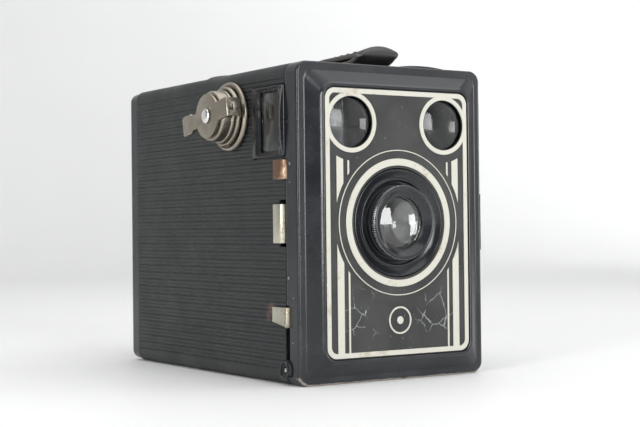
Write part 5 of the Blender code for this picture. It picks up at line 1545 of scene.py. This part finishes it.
@dataclass
class LensMount(SubAssembly):
    """Dish, milled ring, glass and barrel, and the two finder lenses."""

    dish_radius: float = 0.0179
    ring_radius: float = 0.0124
    lens_radius: float = 0.0088
    teeth: int = 104
    tooth: float = 0.00026
    glass_rim: float = 0.0082
    rise: float = 0.0017
    finder_radius: float = 0.0089
    finder_rim: float = 0.00805

    def build(self) -> None:
        """Make every turned piece of the mount."""
        self.dish()
        self.ring()
        self.glass()
        self.finder_lenses()

    def dish(self) -> None:
        """Shallow dish with a raised bead round the lens ring."""
        hole = self.ring_radius + 0.0005
        outer = self.dish_radius
        profile = [
            (outer, -0.0030), (outer - 0.0001, -0.0032), (outer - 0.0003, -0.00325),
            (outer - 0.0005, -0.00315), (outer - 0.0012, -0.0026), (outer - 0.0022, -0.0020),
            (hole + 0.0022, -0.0018), (hole + 0.0019, -0.0020), (hole + 0.00185, -0.0023),
            (hole + 0.0017, -0.00242), (hole + 0.0015, -0.00245), (hole + 0.0013, -0.0024),
            (hole + 0.0011, -0.0021), (hole + 0.0008, -0.0017), (hole, -0.0015), (hole, -0.0007),
            (outer, -0.0007),
        ]
        worn = [0, 0.3, 0.4, 0.2, 0, 0, 0, 0, 0.5, 0.7, 0.8, 0.6, 0.2, 0, 0, 0, 0]
        dish = Solid.turned(profile, Axis.Y, (0, 0), worn=worn)
        self.add("turned_dish", dish, Finishes.GLOSS, "door", "lens_dish")

    def ring(self) -> None:
        """Lens ring with a bevel inside, turned lines outside and a milled edge."""
        lip = self.lens_radius - 0.0003
        rim = self.ring_radius - self.tooth
        seat = self.lens_radius + GAP
        profile = [
            (lip, -0.0041), (lip, -0.0044), (lip + 0.0001, -0.0046), (0.0094, -0.0050), (0.0103, -0.0057),
            (0.0111, -0.0064), (0.0113, -0.00655), (0.0115, -0.0066), (0.0118, -0.0066), (0.0120, -0.0065),
            (rim, -0.0062), (rim, -0.0050), (rim - 0.0002, -0.00485), (rim - 0.0002, -0.0046),
            (rim, -0.00445),
            (rim, -0.0036), (rim - 0.0002, -0.00345), (rim - 0.0002, -0.0032), (rim, -0.00305), (rim, -0.0016),
            (seat, -0.0016), (seat, -0.0041),
        ]
        worn = [0, 0, 0, 0, 0, 0.2, 0.5, 0.6, 0.6, 0.6, 0.5, 0.1, 0, 0, 0.1, 0.1, 0, 0, 0.1, 0, 0, 0]
        ring = Solid.turned(profile, Axis.Y, (0, 0), 128, worn)
        half = math.pi * self.ring_radius / self.teeth * 0.55
        base = self.ring_radius - self.tooth - 0.0001
        depth = 0.00065
        tip = self.tooth + 0.0001
        section = [(-half, 0), (-half, 0.0001), (-half * 0.35, tip), (half * 0.35, tip),
                   (half, 0.0001), (half, 0)]
        tooth = Solid.skin([[Vector((x, y, z * rise)) for x, z in section]
                            for y, rise in ((-depth, 0.15), (-depth + 0.00035, 1.0), (depth, 1.0))])
        spots = []
        for i in range(self.teeth):
            angle = 2 * math.pi * i / self.teeth
            spots.append((at(base * math.sin(angle), -0.00562, base * math.cos(angle)), (0.0, angle, 0.0)))
        self.add("lens_ring_turned", ring, Finishes.GLOSS, "door", "lens_ring")
        milling = Nodes.copies(tooth, spots, Finishes.MILLED)
        self.add("lens_ring_milling", milling, Finishes.MILLED, "door")

    def glass(self) -> None:
        """Convex front glass and the barrel behind it."""
        lip = self.glass_rim
        rear = -0.0028
        profile = [(0, rear + 0.0004), (self.lens_radius, rear), (self.lens_radius, -0.0037),
                   *dome(lip, -0.0038, self.rise, 20)]
        lens = Solid.turned(profile, Axis.Y, (0, 0), 128)
        self.add("domed_lens", lens, Finishes.GLASS, "door", "lens_element")
        tube = self.lens_radius - 0.0012
        barrel = [(tube, rear + 0.0005), (self.lens_radius, rear + 0.0005), (self.lens_radius, -0.0013),
                  (self.ring_radius + 0.0002, -0.0013), (self.ring_radius + 0.0002, -0.0004),
                  (self.lens_radius, -0.0004), (self.lens_radius, 0.0033), (tube, 0.0033)]
        tube_wall = Solid.turned(barrel, Axis.Y, (0, 0))
        self.add("turned_barrel", tube_wall, Finishes.INSIDE, "door", "lens_barrel")

    def finder_lenses(self) -> None:
        """Small convex lenses of the two finders."""
        rim = -0.0023
        for node in ("side_finder_lens", "top_finder_lens"):
            x, _, z = middle(node)
            profile = [(0, rim + 0.0011), (self.finder_radius - 0.0001, rim + 0.0011),
                       (self.finder_radius, rim + 0.0010), (self.finder_radius, rim + 0.0001),
                       (self.finder_radius - 0.0001, rim), *dome(self.finder_rim, rim, 0.0016, 16)]
            self.add(f"domed_{node}", Solid.turned(profile, Axis.Y, (x, z)), Finishes.FINDER, "door", node)


@dataclass
class ShutterWorks(SubAssembly):
    """Levers, slides and pivots on the door, their edges rounded."""

    trims: tuple[tuple[str, float], ...] = (("aperture_slide", 0.0025), ("time_selector", 0.0030))

    def build(self) -> None:
        """Round the edges of every moving strip."""
        self.soft("release_lever", 0.00012, "release_lever")
        self.soft("shutter_disc", 0.00008, "shutter_disc")
        for node, trim in self.trims:
            low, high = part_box(node)
            back = DATUM.local(high)[0]
            end = Solid.block((low.x - 0.001, -DATUM.half_x - 0.0001), (back - trim, back + 0.001),
                              (DATUM.local(low)[1] - 0.001, DATUM.local(high)[1] + 0.001))
            solid = Solid.from_node(node).cut(end).soften(0.00012)
            self.add(f"{node}_finished", solid, Finishes.KEPT[node], node, node)
        self.soft("door", 0.0001, "slide_bridge")
        self.soft("door", 0.00015, "shutter_pivot", "lever_pivot")


@dataclass
class WindingKey(SubAssembly):
    """Flange, bush, drum, stamped plate and rivet of the winding key."""

    hub: float = 0.0079
    flange: float = 0.0119
    cap: float = 0.0103
    drum: float = 0.0087
    hole: float = 0.0026
    face: float = 0.0380
    foot: float = 0.0349
    tilt: float = -9.5
    plate: float = 0.0010
    axis: Point = field(default_factory=key_axis, init=False)

    def build(self) -> None:
        """Make the turned pieces, the plate and the rivet."""
        flange_top = self.face + 0.0016
        cap_top = flange_top + 0.0017
        drum_top = cap_top + 0.0049
        bore = self.hub - 0.0007
        rim = self.flange
        self.turn("flange", [
            (bore, self.foot), (self.hub, self.foot), (self.hub, self.face), (rim - 0.0002, self.face),
            (rim, self.face + 0.0002), (rim, flange_top - 0.0009), (rim - 0.0001, flange_top - 0.0006),
            (rim - 0.0004, flange_top - 0.0002), (rim - 0.0009, flange_top),
            (rim - 0.0013, flange_top - 0.0001),
            (rim - 0.0015, flange_top - 0.0003), (bore, flange_top - 0.0003)],
            "case", "key_flange", Finishes.NICKEL)
        base = flange_top + GAP
        self.turn("bush", [
            (self.hole, self.foot), (bore - GAP, self.foot), (bore - GAP, base), (self.cap - 0.0001, base),
            (self.cap, base + 0.0001), (self.cap, cap_top - 0.0007), (self.cap - 0.0001, cap_top - 0.0004),
            (self.cap - 0.0003, cap_top - 0.0001), (self.cap - 0.0007, cap_top),
            (self.drum + 0.0007, cap_top - 0.0001),
            (self.hole, cap_top - 0.0001)], "key_bush", "key_bush", Finishes.NICKEL)
        wall = cap_top + GAP
        inner = self.drum - 0.0008
        self.turn("drum", [
            (self.hole, drum_top - 0.0013), (inner, drum_top - 0.0013), (inner, wall),
            (self.drum + 0.0004, wall), (self.drum + 0.0004, wall + 0.0006),
            (self.drum + 0.0003, wall + 0.0008), (self.drum, wall + 0.0010), (self.drum, drum_top - 0.0009),
            (self.drum - 0.0001, drum_top - 0.0005), (self.drum - 0.0004, drum_top - 0.0001),
            (self.drum - 0.0008, drum_top), (self.hole, drum_top)], "key", "key_drum", Finishes.NICKEL)
        low = drum_top + GAP
        self.stamped_plate(low)
        head = low + self.plate + GAP
        self.turn("rivet", [
            (0, drum_top - 0.0002), (0.0012, drum_top - 0.0002), (0.0012, head), (0.0024, head),
            (0.0025, head + 0.0001), (0.0024, head + 0.0003), (0.0020, head + 0.0006),
            (0.0014, head + 0.0008), (0.0007, head + 0.0009), (0, head + 0.0009)],
            "key", "key_rivet", Finishes.BRIGHT)
        self.soft("key", 0.0001, "key_shaft")

    def turn(self, name: str, profile: Outline, body: str, node: str, finish: Finish) -> None:
        """Turned piece from (radius, distance from the camera's middle)."""
        solid = Solid.turned([(r, -level) for r, level in profile], Axis.X, self.axis)
        self.add(f"key_{name}_turned", solid, finish, body, node)

    def outline(self) -> Outline:
        """Draw the stamped plate: a disc with a wide arm to the front and a T-shaped tail.

        Returns:
            Its outline, from the arm's upper corner to its lower one.
        """
        disc, arm, neck = 0.00765, 0.0032, 0.0026
        reach, tail_neck, tail_end, head = 0.0141, 0.0108, 0.0176, 0.0035
        arm_angle = math.degrees(math.asin(arm / disc))
        neck_angle = math.degrees(math.asin(neck / disc))
        upper = [(reach, arm)] + arc((0, 0), disc, arm_angle, 180 - neck_angle, 32)
        upper += [(-tail_neck, neck), (-tail_neck - 0.0008, head)]
        upper += arc((-tail_end + 0.0012, head - 0.0012), 0.0012, 90, 180, 6)
        return [self.lean(*p) for p in upper + [(p, -q) for p, q in reversed(upper)]]

    def lean(self, p: float, q: float) -> Point:
        """Lean a point of the plate.

        Args:
            p: its distance from the axis towards the front.
            q: its distance upwards.

        Returns:
            Its depth and height.
        """
        turn = math.radians(self.tilt)
        return (self.axis[0] - p * math.cos(turn) - q * math.sin(turn),
                self.axis[1] - p * math.sin(turn) + q * math.cos(turn))

    def stamped_plate(self, low: float) -> None:
        """Make the plate, its front end folded down as a leg, with two creases and an eyelet.

        Args:
            low: distance of its inner face from the camera's middle.
        """
        high = low + self.plate
        outline = self.outline()
        upper, lower = Vector(outline[0]), Vector(outline[-1])
        inward = (Vector(outline[1]) - upper).normalized() * 0.0009
        leg = Solid.slab([tuple(c) for c in (upper, lower, lower + inward, upper + inward)], Axis.X,
                         -low - 0.0005, -low + 0.0045)
        plate = Solid.slab(outline, Axis.X, -high, -low).join(leg)
        eye = (upper + lower) / 2 + inward / 2
        eyelet = Solid.block((-low - 0.0001, -low + 0.0016), (eye.x - 0.003, eye.x + 0.003),
                             (eye.y - 0.0011, eye.y + 0.0011))
        rivet_hole = Solid.bore(self.axis, 0.0015, Axis.X, -high - 0.001, -low + 0.001, SMALL_ROUND)
        plate = plate.cut(rivet_hole, eyelet)
        creases = []
        for p in (0.0036, 0.0048):
            corners = [self.lean(p - 0.00016, 0.0046), self.lean(p + 0.00016, 0.0046),
                       self.lean(p + 0.0009, 0.0085), self.lean(p + 0.0006, 0.0085)]
            creases.append(Solid.slab(corners, Axis.X, -high - 0.001, -high + 0.00018))
        plate = plate.cut(*creases).soften(0.00016, 2, 35)
        self.add("key_plate_stamped", plate, Finishes.NICKEL, "key", "key_plate")


@dataclass
class Strap(SubAssembly):
    """Leather carrying strap with its stitches and the two studs."""

    width: float = 0.016
    thickness: float = 0.0018
    sway: float = 0.0032
    crown: float = 0.0023
    lean: float = 0.0007
    narrow: float = 0.12
    stitch_pitch: float = 0.0030
    stitch_inset: float = 0.0018
    stitch_radius: float = 0.00022
    bare_end: float = 0.016

    def line(self) -> Outline:
        """Draw the strap's middle line from the side, folded over its two studs.

        Returns:
            Depth and height of its points.
        """
        top = DATUM.half_z
        front = [(0.0290, 0.0017), (0.0215, 0.0017), (0.0140, 0.0020), (0.0100, 0.0034), (0.0086, 0.0050),
                 (0.0100, 0.0067), (0.0128, 0.0072), (0.0170, 0.0061), (0.0228, 0.0052), (0.0300, 0.0040),
                 (0.0440, 0.0034)]
        rear = [(0.0440, 0.0036), (0.0310, 0.0043), (0.0240, 0.0053), (0.0180, 0.0056), (0.0130, 0.0055),
                (0.0103, 0.0048), (0.0096, 0.0037), (0.0108, 0.0026), (0.0145, 0.0019), (0.0215, 0.0017),
                (0.0290, 0.0017)]
        line = [(d, top + h) for d, h in front] + [(BODY_DEPTH / 2, top + 0.0034)]
        return line + [(BODY_DEPTH - d, top + h) for d, h in rear]

    def bent(self, x: float, depth: float, height: float, lift: float) -> Vector:
        """Point of the strap, whose front fold is narrower, crowned and swayed by its lift."""
        drop = self.crown * (2 * x / self.width) ** 2 - self.lean * x / self.width
        return at(x * (1 - self.narrow * lift) + self.sway * lift, depth, height - drop * lift)

    def build(self) -> None:
        """Make the strap, its stitches and its studs."""
        line = smooth(self.line(), 8)
        half, edge = self.width / 2, 0.0006
        across = [(2 * i / 10 - 1) * (half - edge) for i in range(11)]
        section = [(-half, -0.3), (-half, 0.3), (-half + 0.0002, 0.75), *((x, 1.0) for x in across),
                   (half - 0.0002, 0.75), (half, 0.3), (half, -0.3), (half - 0.0002, -0.75),
                   *((x, -1.0) for x in reversed(across)), (-half + 0.0002, -0.75)]
        rings = []
        stitches = []
        travelled = 0.0
        for i, (depth, height) in enumerate(line):
            before, after = line[max(i - 1, 0)], line[min(i + 1, len(line) - 1)]
            along = Vector((after[0] - before[0], after[1] - before[1])).normalized()
            normal = Vector((-along.y, along.x)) * self.thickness / 2
            lift = min(max((height - DATUM.half_z - 0.0040) / 0.0035, 0.0), 1.0) if depth < 0.03 else 0.0
            rings.append([self.bent(x, depth + k * normal.x, height + k * normal.y, lift)
                          for x, k in section])
            travelled += math.dist(before, (depth, height))
            between = self.bare_end < depth < BODY_DEPTH - self.bare_end
            if travelled > self.stitch_pitch and between and height > DATUM.half_z + 0.004:
                travelled = 0.0
                tilt = math.atan2(along.y, along.x)
                for sign in (-1, 1):
                    x = sign * (half - self.stitch_inset)
                    spot = self.bent(x, depth + normal.x, height + normal.y, lift)
                    stitches.append((spot, (tilt, 0.0, 0.0)))
        strap = Solid.skin(rings)
        layer = strap.bm.verts.layers.float["edge"]
        count = len(section)
        for index, vert in enumerate(strap.bm.verts):
            vert[layer] = 1.0 if abs(section[index % count][1]) < 0.9 else 0.0
        low, high = DATUM.half_z - 0.001, DATUM.half_z + 0.0036
        holes = [Solid.bore((0, middle(name)[1]), 0.0018, Axis.Z, low, high, SMALL_ROUND)
                 for name in ("strap_stud_front", "strap_stud_rear")]
        self.add("leather_strap", strap.cut(*holes), Finishes.LEATHER, "case", "carry_strap")
        r = self.stitch_radius
        sections = ((-0.00095, 0.3, -0.00012), (-0.0007, 0.9, 0.0), (0, 1.0, 0.00004), (0.0007, 0.9, 0.0),
                    (0.00095, 0.3, -0.00012))
        stitch = Solid.skin([[Vector((r * s * math.cos(a), y, lift + r * s * math.sin(a)))
                              for a in (2 * math.pi * k / 8 for k in range(8))] for y, s, lift in sections])
        seam = Nodes.copies(stitch, stitches, Finishes.THREAD)
        self.add("strap_stitches", seam, Finishes.THREAD, "case")
        self.studs()

    def studs(self) -> None:
        """Domed studs through the strap's ends."""
        cap = DATUM.half_z + 0.0029
        for name in ("strap_stud_front", "strap_stud_rear"):
            depth = middle(name)[1]
            profile = [(0, DATUM.half_z - 0.0026), (0.0015, DATUM.half_z - 0.0026), (0.0015, cap), (0.0033, cap),
                       (0.0034, cap + 0.0001), (0.0032, cap + 0.0004), (0.0026, cap + 0.0007),
                       (0.0016, cap + 0.00095), (0, cap + 0.001)]
            stud = Solid.turned(profile, Axis.Z, (0, depth), SMALL_ROUND)
            self.add(f"{name}_domed", stud, Finishes.NICKEL, "case", name)


@dataclass
class FilmCarrier(SubAssembly):
    """Light cone, side plates, take-up spool, rollers and studs inside the case."""

    spool_half: float = 0.032
    flange: float = 0.0122
    core: float = 0.0055
    bore: float = 0.0018
    roller_half: float = 0.0342

    def build(self) -> None:
        """Round the plates' edges, and turn the spool and the rollers."""
        self.soft("case", 0.0001, "light_cone", "carrier_plate_left", "carrier_plate_right")
        self.soft("case", 0.0002, "take_up_stud", "supply_stud_left", "supply_stud_right")
        half, flange, core = self.spool_half, self.flange, self.core
        _, depth, height = middle("take_up_spool")
        profile = [(0, half - 0.005), (self.bore, half - 0.005), (self.bore, half), (core, half),
                   (core + 0.0003, half - 0.0002), (core + 0.0018, half - 0.0002), (core + 0.0021, half),
                   (flange - 0.0002, half), (flange, half - 0.0002), (flange, half - 0.0008),
                   (flange - 0.0002, half - 0.001), (core + 0.0003, half - 0.001), (core, half - 0.0013)]
        profile += [(r, -level) for r, level in reversed(profile)]
        spool = Solid.turned(profile, Axis.X, (depth, height))
        slot = Solid.block((-half - 0.001, -half + 0.005), (depth - 0.0009, depth + 0.0009),
                           (height - 0.0036, height + 0.0036))
        film_slot = Solid.block((-0.020, 0.020), (depth - 0.0005, depth + 0.0005),
                                (height - 0.008, height + 0.008))
        self.add("turned_spool", spool.cut(slot, film_slot), Finishes.GLOSS, "take_up_spool", "take_up_spool")
        for name in ("film_roller_top", "film_roller_bottom"):
            _, depth, height = middle(name)
            end = self.roller_half
            profile = [(0, end), (0.0009, end), (0.0010, end - 0.0001), (0.0010, end - 0.0017),
                       (0.0022, end - 0.0017), (0.0024, end - 0.0019)]
            profile += [(r, -level) for r, level in reversed(profile)]
            roller = Solid.turned(profile, Axis.X, (depth, height), SMALL_ROUND)
            self.add(f"{name}_turned", roller, Finishes.BRIGHT, name, name)


# ---- Studio ------------------------------------------------------------------------------
@dataclass
class Studio:
    """Pale sweep, soft lights and the camera."""

    camera_place: Point = (-0.27385, -0.43797, 0.05128)
    focal_length: float = 78.04
    yaw: float = 0.5777
    pitch: float = -0.0098
    roll: float = 0.0108
    floor_color: Point = (0.84, 0.84, 0.84)

    def build(self) -> None:
        """Make the camera, the sweep, the lights and the world."""
        bpy.context.scene.view_settings.view_transform = "Standard"
        self.camera()
        self.sweep()
        self.lights()
        self.world()

    def camera(self) -> None:
        """Place the camera at the view's angle."""
        data = bpy.data.cameras.new("Camera")
        data.lens = self.focal_length
        data.clip_start = 0.01
        eye = bpy.data.objects.new("Camera", data)
        lean = Matrix.Rotation(-self.roll, 3, "Y") @ Matrix.Rotation(self.pitch, 3, "X")
        aim = lean @ Matrix.Rotation(self.yaw, 3, "Z")
        right, forward, up = (Vector(row) for row in aim)
        turn = Matrix((right, up, -forward)).transposed()
        eye.matrix_world = Matrix.Translation(self.camera_place) @ turn.to_4x4()
        bpy.context.scene.collection.objects.link(eye)
        bpy.context.scene.camera = eye

    def sweep(self) -> None:
        """Floor that curves up into a backdrop behind the camera's view."""
        line = [(-2.5, 0.0), (0.9, 0.0)]
        line += arc((0.9, 0.7), 0.7, -90, 0, 12)[1:] + [(1.6, 3.2)]
        bm = bmesh.new()
        rows = [[bm.verts.new((x, y, z)) for x in (-4.0, 4.0)] for y, z in line]
        for first, second in zip(rows, rows[1:]):
            bm.faces.new((first[0], first[1], second[1], second[0]))
        mesh = bpy.data.meshes.new("sweep")
        bm.to_mesh(mesh)
        bm.free()
        mesh.shade_smooth()
        floor = bpy.data.objects.new("sweep", mesh)
        material = bpy.data.materials.new("Pale paper")
        material.use_nodes = True
        pen = Tree(material.node_tree)
        shader = material.node_tree.nodes["Principled BSDF"].inputs
        tone = pen.ramp(pen.noise(pen.coords(), 6, 3), 0.3, 0.7)
        darker = tuple(c * 0.985 for c in self.floor_color)
        pen.feed(shader["Base Color"], pen.mix(tone, self.floor_color, darker))
        shader["Roughness"].default_value = 0.55
        mesh.materials.append(material)
        bpy.context.scene.collection.objects.link(floor)

    def lights(self) -> None:
        """Large soft boxes, all aimed at the object but the one that washes the backdrop."""
        middle_point = Vector((0, 0, 0.05))
        for name, place, size, power in (
            ("Top box", (0.1, -0.1, 0.95), (1.3, 1.3), 8.0),
            ("Front window", (0.00, -1.20, 0.20), (0.46, 0.80), 10.0),
            ("Right box", (1.00, -0.66, 0.12), (0.34, 0.30), 1.8),
            ("Left strip", (-1.15, -0.58, 0.35), (0.24, 0.90), 9.0),
            ("Back wash", (1.8, 0.60, 0.75), (1.4, 0.9), 9.5),
        ):
            data = bpy.data.lights.new(name, "AREA")
            data.shape = "RECTANGLE"
            data.size, data.size_y = size
            data.energy = power
            lamp = bpy.data.objects.new(name, data)
            aim = Vector((0, 1, -0.25)) if name == "Back wash" else middle_point - Vector(place)
            turn = aim.to_track_quat("-Z", "Y").to_matrix().to_4x4()
            lamp.matrix_world = Matrix.Translation(place) @ turn
            bpy.context.scene.collection.objects.link(lamp)

    def world(self) -> None:
        """Even pale surroundings."""
        world = bpy.data.worlds.new("Studio")
        bpy.context.scene.world = world
        world.use_nodes = True
        sky = world.node_tree.nodes["Background"].inputs
        pen = Tree(world.node_tree)
        ray = pen.add("ShaderNodeTexCoord").outputs["Generated"]
        right = pen.add("ShaderNodeVectorMath", {0: ray, 1: (0.80, -0.58, 0.16)}, operation="DOT_PRODUCT")
        glow = pen.ramp(right.outputs["Value"], 0.70, 1.0, 0.30, 1.30)
        sky["Color"].default_value = (0.98, 0.99, 1.0, 1)
        pen.feed(sky["Strength"], glow)


def dress_kept() -> None:
    """Give every CAD node that stays its finish."""
    for name, finish in Finishes.KEPT.items():
        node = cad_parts[name]
        node.data.materials.clear()
        node.data.materials.append(finish.material())
        LOG.info("%s: %s", name, finish.name)


def main() -> None:
    """Build the sub-assemblies in order."""
    logging.basicConfig(level=logging.INFO, format="%(message)s")
    Studio().build()
    dress_kept()
    parts = (CaseShell(), *(Finder(side) for side in Side), FrontDoor(), LensMount(), ShutterWorks(),
             WindingKey(), Strap(), FilmCarrier())
    for part in parts:
        part.build()
        part.dress()


if __name__ == "__main__":
    main()
